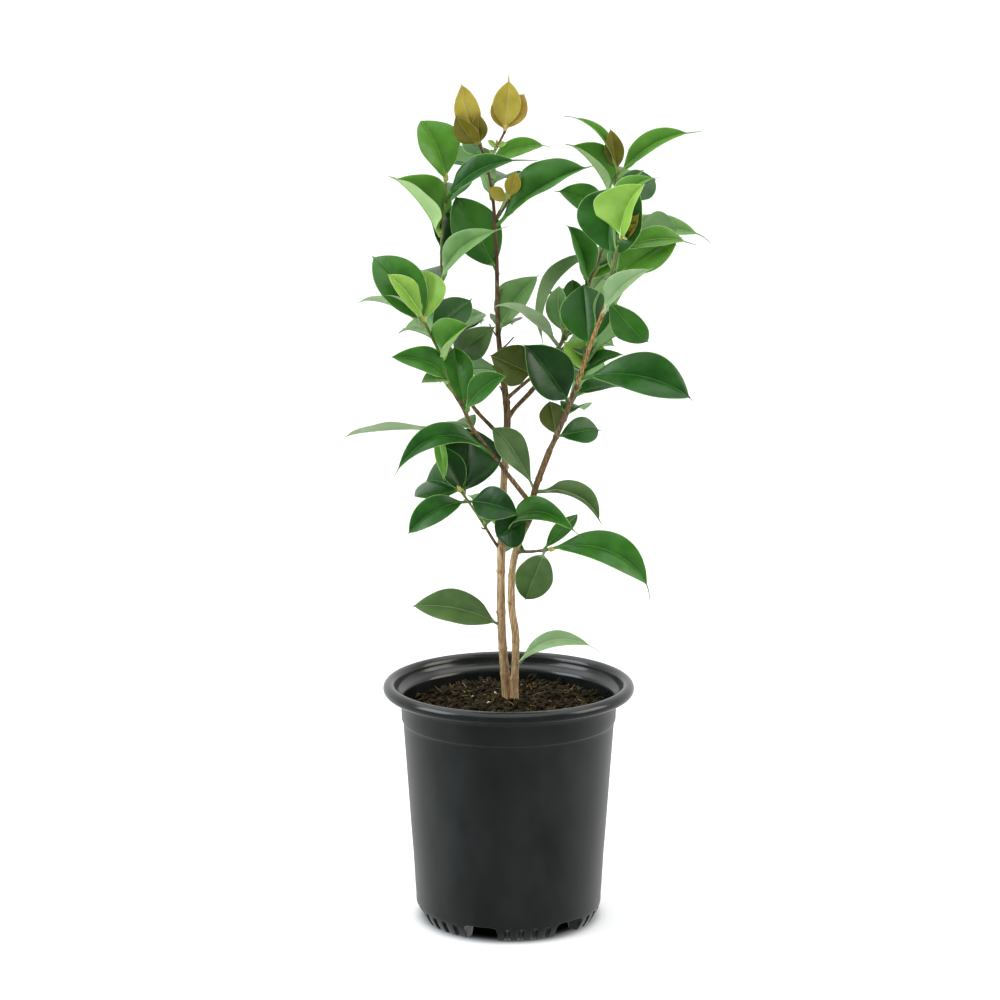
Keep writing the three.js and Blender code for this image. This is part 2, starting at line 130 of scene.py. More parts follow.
def joined(skins):
    """Several (points, triangles) skins as one, the corner numbers moved on for each."""
    points, corners, start = [], [], 0
    for spots, faces in skins:
        points.append(spots)
        corners.append(faces + start)
        start += len(spots)
    return np.concatenate(points), np.concatenate(corners)


def make_piece(name, points, corners, materials, slots=None, across=None):
    """Puts points in millimetres and triangles into a mesh, with a finish number for each
    triangle and, where given, a flat map of the surface with one pair for each point."""
    mesh = bpy.data.meshes.new(name)
    mesh.from_pydata((np.asarray(points) * MM).tolist(), [], np.asarray(corners).tolist())
    for material in materials:
        mesh.materials.append(material)
    if slots is not None:
        mesh.polygons.foreach_set("material_index", np.asarray(slots, np.int32))
    mesh.polygons.foreach_set("use_smooth", np.ones(len(corners), bool))
    if across is not None:
        layer = mesh.uv_layers.new(name="Blade")
        layer.data.foreach_set("uv", np.asarray(across, np.float32)[np.asarray(corners).ravel()].ravel())
    mesh.update()
    piece = bpy.data.objects.new(name, mesh)
    bpy.context.scene.collection.objects.link(piece)
    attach(piece, "root")
    return piece


RIM, ROLL, RIM_HEIGHT = 82.4, 4.1, 155.7     # outside of the rim, radius and height of its roll
POLISHED = 9                                 # its tool is polished from this far under the roll's middle
COLLAR, COLLAR_FOOT = 70.4, 134.5            # the plain band under the rim
WALL_TOP, WALL_FOOT, WALL = 69.3, 61.4, 1.6  # outside of the tapered wall, and its thickness
FOOT_RING, FOOT_OUT = 49.5, 55.7             # inside and outside of the ring of feet
FOOT_TURN, FLOOR = 12.5, 9.5                 # heights where the feet meet the wall, and of the floor inside
ARCHES, ARCH_FIRST = 6, -108.0               # how many, and the degrees of the first one's middle
ARCH_HALF, ARCH_TOP, SQUARE = 10.9, 10.5, 7  # half its width in degrees, its height, the power of its outline
SPACING = 360 / ARCHES
FLUTES = [-13, -4.33, 4.33, 13]              # degrees of the short flutes from a foot's middle
FLUTE_HALF, FLUTE_DEEP = 1.75, 2.5           # half its width in degrees, its depth
FLUTE_STRAIGHT, FLUTE_RUNOUT = 5.5, 3.6      # it is straight up to this height, then runs out over this


def pot_outline():
    """[radius, height] round the whole section: underside, foot, wall, rim, inside, floor."""
    heights = np.array([0.5, 1.4, 2.6, 4, 5.2, 6.2, 7.2, 8, 8.7, 9.3, 10, 11, FOOT_TURN])
    foot = FOOT_OUT + 0.35 + (WALL_FOOT - FOOT_OUT - 0.35) * np.sin(np.pi / 2 * heights / FOOT_TURN) ** 0.9
    roll = np.radians(np.linspace(-135, 180, 22))
    middle = RIM - ROLL
    inner = COLLAR - WALL
    return np.array(
        [[8, 0], [13.5, 0], [15, 0.3], [16.2, 3.2], [17.4, 6.5], [30, 6.5], [44, 6.5], [47.4, 6.5],
         [48.4, 3.2], [FOOT_RING, 0.2], [FOOT_RING + 0.8, 0], [FOOT_OUT - 0.6, 0], [FOOT_OUT, 0.1]]
        + np.stack([foot, heights], -1).tolist()
        + [[WALL_FOOT, 15], [WALL_FOOT + 0.5, 22], [63, 42], [64.8, 66], [66.8, 96], [68.6, 122],
           [WALL_TOP - 0.1, 131], [WALL_TOP, COLLAR_FOOT - 1.2], [WALL_TOP + 0.3, COLLAR_FOOT - 0.4],
           [COLLAR - 0.2, COLLAR_FOOT + 0.2], [COLLAR, COLLAR_FOOT + 0.9], [COLLAR + 0.2, 141],
           [COLLAR + 0.4, RIM_HEIGHT - 9], [COLLAR + 1, RIM_HEIGHT - 6.9], [COLLAR + 2.2, RIM_HEIGHT - 5.4]]
        + np.stack([middle + ROLL * np.cos(roll), RIM_HEIGHT + ROLL * np.sin(roll)], -1).tolist()
        + [[middle - ROLL - 0.3, RIM_HEIGHT - 2.2], [middle - ROLL - 1.2, RIM_HEIGHT - 3.4],
           [inner + 2.4, RIM_HEIGHT - 4.6], [inner + 1.0, RIM_HEIGHT - 5.3], [inner + 0.2, RIM_HEIGHT - 6.2],
           [inner - 0.1, RIM_HEIGHT - 8], [inner - 0.6, COLLAR_FOOT], [WALL_TOP - WALL, COLLAR_FOOT - 2],
           [WALL_FOOT - WALL, 17], [WALL_FOOT - WALL - 0.6, 12.6], [57.3, FLOOR], [50, FLOOR], [48.4, FLOOR],
           [46, FLOOR], [20, FLOOR]])


def pot_angles():
    """Even steps round the pot, with closer steps at the arches' corners and at the flutes."""
    edge = ARCH_HALF * np.array([-1.004, -1, -0.995, -0.97, -0.92, -0.84, -0.7])
    groove = np.array([-1.8, -1.74, -1.6, -1.2, -0.7, 0, 0.7, 1.2, 1.6, 1.74, 1.8])
    steps = [np.arange(0, 360, 1.5)]
    for middle in ARCH_FIRST + SPACING * np.arange(ARCHES):
        steps += [middle + edge, middle - edge]
        steps += [middle + SPACING / 2 + flute + groove for flute in FLUTES]
    return np.radians(np.unique(np.round(np.concatenate(steps) % 360, 4)))


def pot_skin(outline, angles):
    """Turns the outline about the upright axis. Inside an arch the low points of the foot are
    lifted to the arch's top, whose corners are round, and a flute pulls the foot's face in by
    half a round."""
    radius = np.repeat(outline[:, :1], len(angles), 1)
    height = np.repeat(outline[:, 1:], len(angles), 1)
    outside = np.arange(len(outline)) < len(outline) / 2     # it goes up outside and comes down inside
    from_arch = (np.degrees(angles) - ARCH_FIRST + SPACING / 2) % SPACING - SPACING / 2
    lift = ARCH_TOP * np.clip(1 - np.abs(from_arch / ARCH_HALF) ** SQUARE, 0, 1) ** (1 / SQUARE)
    feet = (outline[:, 0] > FOOT_RING - 1.3) & (outline[:, 1] < FOOT_TURN)
    height = np.where(feet[:, None], np.maximum(height, lift + np.where(outside, 0, WALL)[:, None]), height)
    from_foot = from_arch % SPACING - SPACING / 2
    near = np.min(np.abs(from_foot[:, None] - np.array(FLUTES)), 1)
    depth = FLUTE_DEEP * np.sqrt(np.clip(1 - (near / FLUTE_HALF) ** 2, 0, 1))
    above = np.clip(outline[:, 1] - FLUTE_STRAIGHT, 0, None) / FLUTE_RUNOUT
    fade = np.sqrt(np.clip(1 - above ** 2, 0, 1)) * (outside & (outline[:, 0] > FOOT_OUT - 1))
    radius = radius - fade[:, None] * depth
    rings = np.stack([radius * np.cos(angles), radius * np.sin(angles), height], -1)
    return closed_skin(rings, [0, 0, 0], [0, 0, FLOOR])


# Polypropylene moulded against a satin steel tool: an even, waxy half gloss, with a trace of
# dust and handling, and a fine orange-peel relief about half a millimetre wide.
polypropylene = finish_of("moulded_polypropylene", "#131716 #1a1e1d #212524", 26, 0.36, 0.05,
                          ior=1.49, stretch=(1, 1, 0.5), bump=0.25, depth=0.03)
# The rim's tool was polished, so its roll and the ledge inside it are glossy black.
glossy_polypropylene = finish_of("polished_polypropylene", "#101413 #161a19 #1c201f", 26, 0.2, 0.04,
                                 ior=1.49, bump=0.2, depth=0.02, bump_grain=0.6)
outline, angles = pot_outline(), pot_angles()
polished = outline[:-1, 1] > RIM_HEIGHT - POLISHED
skin, corners = pot_skin(outline, angles)
slots = np.concatenate([np.repeat(polished, 2 * len(angles)), np.zeros(2 * len(angles), bool)])
pot = make_piece("nursery_pot", skin, corners, [polypropylene, glossy_polypropylene], slots)
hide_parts("pot")


# The potting mix. Composted bark and peat, filled to just under the rim and left loose:
# a crumbly bed, with flakes of bark, root fibres, grit and a few green bits lying on it.
SOIL_MIDDLE, SOIL_EDGE = 147.0, 142.0        # heights of the bed at the axis and at the wall
SOIL_RADIUS, DOME_RADIUS, SOIL_FOOT = 66.6, 66, 9.8   # the bed, its dome, the height of its foot
SETTLED, WAVE_HIGH, WAVES = 0.5, 0.030, 70   # how far the bed has sunk, and the waves that make its lumps
SOIL_WAVES = np.random.default_rng(11)
WAVE_WAY = SOIL_WAVES.uniform(0, 2 * np.pi, WAVES)
WAVE_LONG = SOIL_WAVES.uniform(2.6, 17, WAVES)   # millimetres from crest to crest
WAVE_SHIFT = SOIL_WAVES.uniform(0, 2 * np.pi, WAVES)
OUTERMOST, ROUGH, SINK = 65.5, 0.25, 0.2     # how far out bits lie, how uneven they are, how deep they sit
STEM_FEET, CLEAR = [(-1.6, 0.6), (3.6, -3.9)], 4   # bits are pushed this far from the two stems


def soil_height(x, y):
    """A shallow dome, plus the sum of seventy seeded waves that cross each other."""
    dome = SOIL_MIDDLE - (SOIL_MIDDLE - SOIL_EDGE) * (x * x + y * y) / DOME_RADIUS ** 2
    along = x[..., None] * np.cos(WAVE_WAY) + y[..., None] * np.sin(WAVE_WAY)
    phase = along * 2 * np.pi / WAVE_LONG + WAVE_SHIFT
    return dome - SETTLED + (np.cos(phase) * WAVE_HIGH * WAVE_LONG ** 0.8).sum(-1)


def soil_skin():
    """The wall outline turned about the axis, then rings drawn in to the middle over the waves."""
    angles = np.radians(np.arange(0, 360, 1.25))
    side = np.array([[30, SOIL_FOOT], [55.4, SOIL_FOOT], [57.6, 12], [59.3, 16.5], [67.3, 131], [67.1, 140]])
    radii = SOIL_RADIUS * (1 - np.linspace(0, 1, 74)[:-1]) + 0.2
    low = np.stack([side[:, :1] * np.cos(angles), side[:, :1] * np.sin(angles),
                    np.repeat(side[:, 1:], len(angles), 1)], -1)
    x, y = radii[:, None] * np.cos(angles), radii[:, None] * np.sin(angles)
    top = np.stack([x, y, soil_height(x, y)], -1)
    crest = float(soil_height(np.zeros(1), np.zeros(1))[0])
    return closed_skin(np.concatenate([low, top]), [0, 0, SOIL_FOOT], [0, 0, crest])


def rings_of(shape, sides):
    """Rings about the x axis from [place, radius] pairs: a rough closed chip or seed form."""
    turn = 2 * np.pi * np.arange(sides) / sides
    place, radius = np.array(shape).T[:, :, None]
    rings = np.stack([np.repeat(place, sides, 1), radius * np.cos(turn), radius * np.sin(turn)], -1)
    return closed_skin(rings)


def strewn(shape, count, lengths, widths, thicks, seed, lie):
    """Copies of one small form, each stretched, knocked out of true, bowed, tilted by up to
    `lie` degrees and laid on the potting mix by seeded numbers: spot + turn x (form x size)."""
    spots, faces = shape
    draw = np.random.default_rng(seed)
    size = np.stack([draw.uniform(*span, count) for span in (lengths, widths, thicks)], -1) / 2
    knocks = draw.uniform(1 - ROUGH, 1 + ROUGH, (count, len(spots), 3))
    form = spots[None] * knocks * size[:, None]
    bow = draw.uniform(-0.35, 0.35, count)[:, None] * size[:, :1]
    form[..., 2] += bow * (form[..., 0] / size[:, :1]) ** 2
    tilt = np.radians(draw.uniform(-lie, lie, count))
    yaw = draw.uniform(0, 2 * np.pi, count)
    roll = np.radians(draw.uniform(-lie, lie, count))
    zero, one = np.zeros(count), np.ones(count)
    pitch = np.array([[np.cos(tilt), zero, np.sin(tilt)], [zero, one, zero],
                      [-np.sin(tilt), zero, np.cos(tilt)]])
    heel = np.array([[one, zero, zero], [zero, np.cos(roll), -np.sin(roll)],
                     [zero, np.sin(roll), np.cos(roll)]])
    spin = np.array([[np.cos(yaw), -np.sin(yaw), zero], [np.sin(yaw), np.cos(yaw), zero], [zero, zero, one]])
    turn = np.einsum("abn,bcn,cdn->nad", spin, pitch, heel)
    radius = OUTERMOST * np.sqrt(draw.uniform(0.002, 1, count)) - 0.5 * size[:, 0]
    angle = draw.uniform(0, 2 * np.pi, count)
    x, y = np.abs(radius) * np.cos(angle), np.abs(radius) * np.sin(angle)
    for stem_x, stem_y in STEM_FEET:
        gap = np.hypot(x - stem_x, y - stem_y)
        push = np.maximum(1, (CLEAR + 0.4 * size[:, 0]) / np.maximum(gap, 0.1))
        x, y = stem_x + (x - stem_x) * push, stem_y + (y - stem_y) * push
    z = soil_height(x, y) + size[:, 2] * (1 - 2 * SINK) + np.abs(np.sin(tilt)) * size[:, 0] * 0.45
    points = np.einsum("nab,nvb->nva", turn, form) + np.stack([x, y, z], -1)[:, None]
    corners = faces[None] + (np.arange(count) * len(spots))[:, None, None]
    return points.reshape(-1, 3), corners.reshape(-1, 3)


flake = rings_of([[-1, 0.35], [-0.55, 0.95], [0.1, 1], [0.7, 0.8], [1, 0.25]], 6)
crumb = rings_of([[-0.85, 0.55], [0, 1], [0.85, 0.5]], 6)
fibre = rings_of([[-1, 0.7], [-0.5, 1], [0, 1], [0.5, 1], [1, 0.6]], 3)

# Composted bark and peat: dull, dark chocolate with paler dry specks, rough all over.
peat = finish_of("composted_peat", "#110e07 #1f190b #322a14 #4b4122", 2.4, 0.9, 0.05, ior=1.4,
                 gloss=0.2, detail=6, bump=1.0, depth=0.8, bump_grain=0.9)
soil = make_piece("potting_mix", *soil_skin(), [peat])
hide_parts("soil")

# Bark broken in a mill: dark where it is damp, brown to tan on the dry split faces.
damp_bark = finish_of("damp_milled_bark", "#110d06 #221b0c #372e16", 3, 0.8, 0.1, ior=1.4,
                      gloss=0.2, bump=0.8, depth=0.3, bump_grain=0.6)
brown_bark = finish_of("brown_milled_bark", "#2a2210 #41361b #584828", 3, 0.85, 0.08, ior=1.4,
                       gloss=0.2, bump=0.8, depth=0.3, bump_grain=0.6)
dry_bark = finish_of("dry_split_bark", "#64523a #86714f #a8936d", 3, 0.88, 0.06, ior=1.4,
                     bump=0.7, depth=0.25)
# Root and coir fibre: thin, stiff and straw coloured. Expanded perlite: chalky white grit.
coir = finish_of("coir_fibre", "#6e5434 #927450 #b3986c", 4, 0.8, 0.08, ior=1.45, bump=0.4)
perlite = finish_of("expanded_perlite", "#b9b2a6 #d8d3c9 #ece9e2", 2, 0.9, 0.05,
                    bump=0.8, depth=0.2, bump_grain=0.4)
# Moss broken up with the bark: small dull tufts, grey to yellow green.
moss_bits = finish_of("green_moss_bits", "#5d7030 #7f9440 #9bb05a", 3, 0.8, 0.08,
                      bump=0.8, depth=0.3, bump_grain=0.6)
STREWN = [  # name, form, count, lengths, widths and thicknesses in mm, seed, steepest tilt, finish
    ("damp_bark_flakes", flake, 760, (2.2, 7.5), (1.6, 5.2), (0.9, 3.0), 21, 40, damp_bark),
    ("brown_bark_flakes", flake, 330, (2.0, 6.5), (1.2, 4.0), (0.6, 2.0), 22, 36, brown_bark),
    ("dry_bark_flakes", flake, 90, (1.4, 4.6), (0.8, 2.2), (0.4, 1.1), 23, 30, dry_bark),
    ("peat_crumbs", crumb, 1800, (0.8, 2.8), (0.7, 2.2), (0.6, 2.0), 24, 60, damp_bark),
    ("brown_crumbs", crumb, 700, (0.7, 2.2), (0.6, 1.8), (0.5, 1.5), 28, 60, brown_bark),
    ("coir_fibres", fibre, 190, (4, 16), (0.25, 0.6), (0.2, 0.5), 25, 14, coir),
    ("grit_crumbs", crumb, 16, (1.2, 2.6), (1, 2), (0.8, 1.6), 26, 40, perlite),
    ("moss_crumbs", flake, 34, (1.4, 4.2), (1, 2.6), (0.7, 1.4), 27, 40, moss_bits),
]
for name, form, count, lengths, widths, thicks, seed, lie, material in STREWN:
    bits = make_piece(name, *strewn(form, count, lengths, widths, thicks, seed, lie), [material])
    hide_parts("soil")


# The two stems and the four boughs that fork from them. Living wood in its second and third
# year: thin bark with fine upright furrows, and a swollen ring with a scar at each old leaf.
LIMBS = {  # the limb that it forks from, its radius at the foot and at the end, and its way
    "stem_left": (None, (2.85, 1.95), [
        [-1.4, .6, 147.3], [-1.8, .5, 156], [-4.4, 0, 190.5], [-5, 0, 211], [-5, 0, 238],
        [-3.1, 0, 295.5], [-1.1, 0, 326], [-1.1, 0, 339.5], [-4, 0, 363]]),
    "stem_right": (None, (2.5, 1.85), [
        [3.6, -3.9, 147.3], [3.6, -3.9, 156], [4.5, -4.2, 191], [1.9, -4.8, 211],
        [2.6, -5.2, 238], [6.7, -6, 254.5], [13.9, -8.5, 272], [16.5, -10, 288], [26, -16, 316]]),
    "bough_low_left": ("stem_right", (1.5, 1.4), [[15, -9.2, 279], [7, -13, 290], [-1, -17, 301]]),
    "bough_high_left": ("stem_left", (1.25, 1.15), [
        [-1.6, 0, 317], [-10, 3, 327], [-23, 6, 341], [-32, 8, 360]]),
    "bough_rear": ("stem_left", (1.4, 1.3), [[-1.1, 0, 333], [3, 4, 339], [17, 14, 353], [29, 24, 371]]),
    "bough_inner": ("stem_left", (1.2, 1.1), [[-2.2, 0, 346], [1.5, -1.5, 350], [14, -3, 361]]),
}


def smooth_way(points):
    """A smooth curve through points: each span is a Hermite curve whose slopes come from its
    neighbours, with spans timed by the square root of their chords. Kept as close points
    with the length run so far."""
    p = np.array(points, float)
    p = np.vstack([2 * p[0] - p[1], p, 2 * p[-1] - p[-2]])
    a, b, c, d = p[:-3], p[1:-2], p[2:-1], p[3:]
    ta, tb, tc = (np.sqrt(np.linalg.norm(q - r, axis=1))[:, None] for q, r in ((b, a), (c, b), (d, c)))
    out = ((b - a) / ta - (c - a) / (ta + tb) + (c - b) / tb) * tb
    into = ((c - b) / tb - (d - b) / (tb + tc) + (d - c) / tc) * tb
    t = np.linspace(0, 1, 61)[None, :-1, None]
    b, c, out, into = b[:, None], c[:, None], out[:, None], into[:, None]
    line = b + out * t + (3 * (c - b) - 2 * out - into) * t ** 2 + (2 * (b - c) + out + into) * t ** 3
    line = np.vstack([line.reshape(-1, 3), p[-2:-1]])
    run = np.concatenate([[0], np.cumsum(np.linalg.norm(np.diff(line, axis=0), axis=1))])
    return run, line


def along_way(way, share):
    """The points of a way at shares of its length, and the way's direction there."""
    run, line = way
    share = np.clip(np.asarray(share, float), 0, 1)
    at = lambda s: np.stack([np.interp(s * run[-1], run, line[:, k]) for k in range(3)], -1)
    ahead = at(np.minimum(share + 0.004, 1)) - at(np.maximum(share - 0.004, 0))
    return at(share), ahead / np.linalg.norm(ahead, axis=-1, keepdims=True)


def round_skin(way, share, radius, sides):
    """A round section carried along a way: middle + radius x (cos x side + sin x over), where
    radius is a number for each share and angle."""
    middle, ahead = along_way(way, share)
    side = np.cross(ahead, [0, 1, 0])
    side /= np.linalg.norm(side, axis=-1, keepdims=True)
    over = np.cross(ahead, side)
    turn = 2 * np.pi * np.arange(sides) / sides
    radius = np.broadcast_to(radius, (len(middle), sides))[..., None]
    outward = np.cos(turn)[:, None] * side[:, None] + np.sin(turn)[:, None] * over[:, None]
    return middle[:, None] + radius * outward


def bark_radius(share, length, ends, sides, scars, seed, foot_flare=0.0):
    """The taper, plus a ring at each scar, a fine lengthwise furrow and a slow swelling, all in
    millimetres."""
    draw = np.random.default_rng(seed)
    turn = 2 * np.pi * np.arange(sides) / sides
    run = (np.asarray(share) * length)[:, None]
    radius = ends[0] + (ends[1] - ends[0]) * np.asarray(share)[:, None] + np.zeros((1, sides))
    for scar in scars:
        facing = draw.uniform(0, 2 * np.pi)
        ring = np.exp(-((run - scar) / 1.1) ** 2)
        radius = radius + ring * ends[0] * (0.10 + 0.13 * np.clip(np.cos(turn - facing), 0, 1))
    for k in range(2, 9):
        drift = draw.uniform(-0.12, 0.12)
        radius = radius + 0.012 * ends[0] * np.cos(k * turn + drift * run + draw.uniform(0, 6.3))
    for k in range(3):
        radius = radius + 0.016 * ends[0] * np.cos(run / draw.uniform(3, 9) + draw.uniform(0, 6.3))
    return radius + foot_flare * np.exp(-run / 2.2)


# Young bark: tan brown with pale and dark upright streaks about half a millimetre wide and
# several long, matt, a little silvery where the skin has dried.
stem_bark = finish_of("tan_stem_bark", "#6c5231 #9b7e55 #bca078 #dcc8a0", 1.0, 0.62, 0.1, ior=1.45,
                      bump=0.7, depth=0.22, bump_grain=0.45, stretch=(1, 1, 0.14), places=(0.3, 0.75))
# Higher up the skin is thinner and not yet corky: brown with an olive cast and pale flecks.
upper_bark = finish_of("brown_stem_bark", "#3c2c17 #624a28 #84683c #b0945f", 0.9, 0.55, 0.1, ior=1.45,
                       bump=0.6, depth=0.18, bump_grain=0.45, stretch=(1, 1, 0.14), places=(0.3, 0.78))
TURNS_BROWN = {"stem_left": 318, "stem_right": 262}      # height where the tan bark gives way
LIMB_SIDES, SCARS_APART = 28, 23.0            # corners of its round, millimetres from leaf scar to leaf scar
BARK_OVER, CLOSES = 1.07, 0.9                 # how far it covers the solid limb, and reaches past its end
ways = {}
for number, (name, (fork, ends, points)) in enumerate(LIMBS.items()):
    ways[name] = smooth_way(points)
    length = ways[name][0][-1]
    share = np.linspace(0, 1, int(length / 0.9) + 2)
    scars = np.arange(14 + 4 * number, length - 5, SCARS_APART)
    scars = scars + 3.5 * np.sin(scars)
    flare = 0.45 if fork is None else 0.3
    radius = BARK_OVER * bark_radius(share, length, ends, LIMB_SIDES, scars, 40 + number, flare)
    rings = round_skin(ways[name], share, radius, LIMB_SIDES)
    if fork is None:
        rings[0, :, 2] = points[0][2]             # a stem's foot is a level cut
    end, ahead = along_way(ways[name], 1.0)       # it closes up to the shoot that goes on from it
    rings = np.concatenate([rings, end + (rings[-1:] - end) * 0.92 + ahead * CLOSES])
    points, corners = closed_skin(rings)
    middles = points[corners].mean(1)
    high = middles[:, 2] + 2.5 * np.sin(middles[:, 0] * 5)     # the two barks meet in an uneven line
    limb = make_piece(name + "_bark", points, corners, [stem_bark, upper_bark],
                      np.where(high > TURNS_BROWN.get(name, 0), 1, 0))
    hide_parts(name)


# The leafy shoots. Each grows on from a limb's end, or forks from a stem's side, with leaves
# round a twig by the same seeded rule as the solid part, then stubs and buds finer than its
# own. A twig is brown with bark at its foot and green or red towards its tip.
END_GAP = 0.58                                # where a shoot starts past its limb's end
# A row is: place along the twig, how far the tip lies right, back and up, its width over its
# length, the lean of its face from straight up towards the front, its arch, and its colour. The
# deep colour is painted shade, and pale, sage and silver are partly a painted sheen.
# A shoot goes on from the limb named by `on`, or its way starts in a stem's side. `rear` is the
# number of its seeded rear leaves, `skip` the ones left out here, and `young` the share of the
# twig where its young skin begins.
SHOOTS = {
    "foliage_top": dict(on="stem_left", ends=(1.75, .75), rear=3, seed=3, young=.4, skin="red",
        way=[[-7, 1, 392], [-8, 3, 443], [-11, 5, 481], [-16, 5, 503], [-20, 5, 512]],
        rows=[(.18, 27, 6, 36, .46, 35, .08, "pale"), (.43, -28, 14, 49, .54, 62, .05, "mid"),
              (.63, 63, -8, 39, .4, 38, .1, "mid"), (.89, 41, 8, 11, .3, 30, .14, "fresh"),
              (.93, -13, 20, 10, .48, 50, .05, "mid"), (.99, -10, -4, 38, .42, 82, .02, "amber"),
              (.98, -15, -9, 20, .56, 80, .02, "bronze"), (.98, -1, -8, 21, .5, 80, .02, "bronze")],
        forks=[dict(at=.66, reach=(9, -2, 13), ends=(.8, .6), rows=[
                   (.92, -13, -4, 8, .62, 60, .04, "amber"), (1, 5, -3, 18, .56, 74, .03, "amber")]),
               dict(at=.9, reach=(12, 2, 20), ends=(.85, .7), rows=[
                   (.5, -6, -3, 5, .5, 60, .05, "light"), (.55, 6, -3, 2, .6, 60, .05, "light"),
                   (.42, -3, -5, -2, .7, 60, .05, "pale"),
                   (.98, 3, -2, 36, .5, 82, .02, "amber"), (1, 12, 4, 24, .58, 80, .03, "ochre"),
                   (1, -7, 5, 20, .5, 80, .03, "ochre")])]),
    "foliage_high_left": dict(on="bough_high_left", ends=(1.1, .7), rear=3, seed=5, young=.3, skin="green",
        way=[[-41, 8, 391], [-43, 8, 418], [-43, 4, 449], [-40, 0, 486]],
        rows=[(.1, 27, -34, 26, .42, 60, .06, "sage"), (.22, 25, 34, 10, .42, 40, .08, "pale"),
              (.5, 44, -28, 37, .28, 50, .18, "pale"), (.725, -33, -4, 40, .47, 28, .06, "fresh"),
              (.9, 60, -16, 27, .25, 48, .16, "dark"), (.99, -16, 4, 40, .68, 75, .1, "fresh")]),
    "foliage_low_left": dict(on="bough_low_left", ends=(1.35, .75), rear=3, seed=7, young=.55, skin="green",
        skip=(0, 1, 2),
        way=[[-8, -18, 311], [-22, -27, 331], [-29, -32, 346], [-38, -38, 363],
             [-43, -42, 381], [-53, -46, 403]],
        rows=[(.13, -63, -16, -10, .25, 46, .28, "dark"), (.32, -14, 38, -2, .46, 30, .08, "sage"),
              (.42, -8, 8, 43, .5, 68, .04, "mid"), (.44, 25, -20, 27, .42, 60, .1, "mid"),
              (.65, -35, -22, 18, .38, 46, .2, "mid"), (.64, -17, -24, 3, .4, 40, .14, "pale"),
              (.77, 18, -14, 25, .68, 74, .05, "fresh"), (.93, 27, 22, 19, .56, 62, .04, "dark"),
              (.96, -18, -12, -1, .42, -14, .1, "silver"), (.97, -43, -8, 18, .42, -16, .12, "silver"),
              (.97, -35, 8, 44, .52, 46, .12, "mid"), (.99, -23, -8, 32, .4, -60, .03, "light"),
              (.99, 1, 8, 33, .86, 80, .04, "light")],
        forks=[dict(at=.3, reach=(-26, 12, 2), ends=(.85, .7), rows=[
                   (.98, -60, 2, -6, .42, -14, .03, "silver"), (.98, 6, -22, -31, .21, 40, .06, "fresh")])]),
    "foliage_right": dict(on="stem_right", ends=(1.75, .95), rear=3, seed=13, young=.8, skin="green",
        way=[[30, -18, 325], [42, -26, 357], [52, -33, 389], [61, -38, 415], [65, -42, 440], [69, -44, 454]],
        rows=[(.07, 29, 20, 1, .52, 60, .06, "dark"), (.07, -4, 14, 21, .68, 70, .04, "olive"),
              (.23, -29, -18, 42, .56, 66, .05, "deep"), (.36, 72, -12, -12, .41, 36, .2, "dark"),
              (.28, 36, 28, 1, .44, 14, .05, "dark"), (.39, 4, 20, 19, 1.0, 70, .02, "light"),
              (.37, 28, 6, 13, .5, 20, .12, "dark"), (.5, -3, 16, 39, .8, 76, .03, "dark"),
              (.74, 27, 14, -31, .5, 56, .06, "mid"), (.67, 30, -24, 31, .35, 35, .04, "silver"),
              (.82, 45, 12, 27, .5, 58, .06, "fresh"), (.9, 16, 8, 48, .84, 74, .03, "dark"),
              (.95, 51, 18, 1, .28, 8, .1, "fresh"), (1, 14, -12, 36, .8, 72, .03, "light"),
              (1, 11, -16, 18, .32, 70, .03, "bronze"), (1, 9, -16, 12, .32, 70, .03, "bronze"),
              (.95, 25, 2, 47, .32, 40, .05, "fresh")]),
    "foliage_rear": dict(on="bough_rear", ends=(1.25, .75), rear=5, seed=17, young=.6, skin="green",
        way=[[45, 38, 396], [52, 44, 415], [60, 47, 434], [67, 50, 464], [71, 50, 490]],
        rows=[(.22, -2, 14, 26, .5, 50, .06, "mid"), (.62, -40, -20, -62, .38, -24, .2, "pale"),
              (.4, -14, -14, 43, .4, 44, .05, "mid"), (.43, 16, 26, 13, .5, 55, .05, "fresh"),
              (.64, 72, 6, -1, .24, 12, .14, "pale"), (.77, -37, -12, 18, .46, 52, .08, "mid"),
              (.85, 29, 24, 12, .6, 62, .04, "dark"), (.86, -31, -6, 37, .4, 56, .05, "fresh"),
              (.96, 56, 4, 29, .27, 16, .09, "fresh"), (.98, -35, -4, 39, .17, -2, .14, "fresh"),
              (.99, -5, -9, 29, .42, 76, .02, "bronze")]),
    "foliage_inner": dict(on="bough_inner", ends=(1.05, .75), rear=1, seed=19, young=.5, skin="green",
        skip=(0,),
        way=[[26, -5, 375], [33, -4, 384], [35, -1, 390]],
        rows=[(.06, -28, -20, 16, .72, 66, .05, "olive"), (.76, -42, -34, 31, .26, -14, .1, "silver"),
              (.97, -2, 12, 32, .46, 60, .04, "pale")]),
    "foliage_lower_left": dict(ends=(1.05, .8), rear=1, seed=23, young=.3, skin="green",
        way=[[-6.6, 0, 249], [-10, -4, 255], [-19, -14, 272], [-27, -24, 286], [-30, -27, 291]],
        rows=[(.84, 33, -22, -4, .56, 60, .12, "deep"), (.84, -39, -12, -20, .4, 48, .2, "dark"),
              (.94, 4, 30, 40, .86, 76, .02, "deep"), (1, -24, 26, 2, 1.1, 54, .1, "dark"),
              (.98, -13, 6, 30, .5, 50, .04, "deep")]),
    "foliage_lower_right": dict(ends=(1.15, .85), rear=0, seed=29, young=.8, skin="green",
        way=[[4, -5.2, 246], [8, -8, 248], [14, -12, 249], [25, -20, 252]],
        rows=[(.8, 73, -10, -29, .3, 42, .2, "mid"), (.92, -13, 18, -38, .56, 74, .05, "sage"),
              (.85, 24, 20, 20, .3, 50, .05, "mid")]),
}
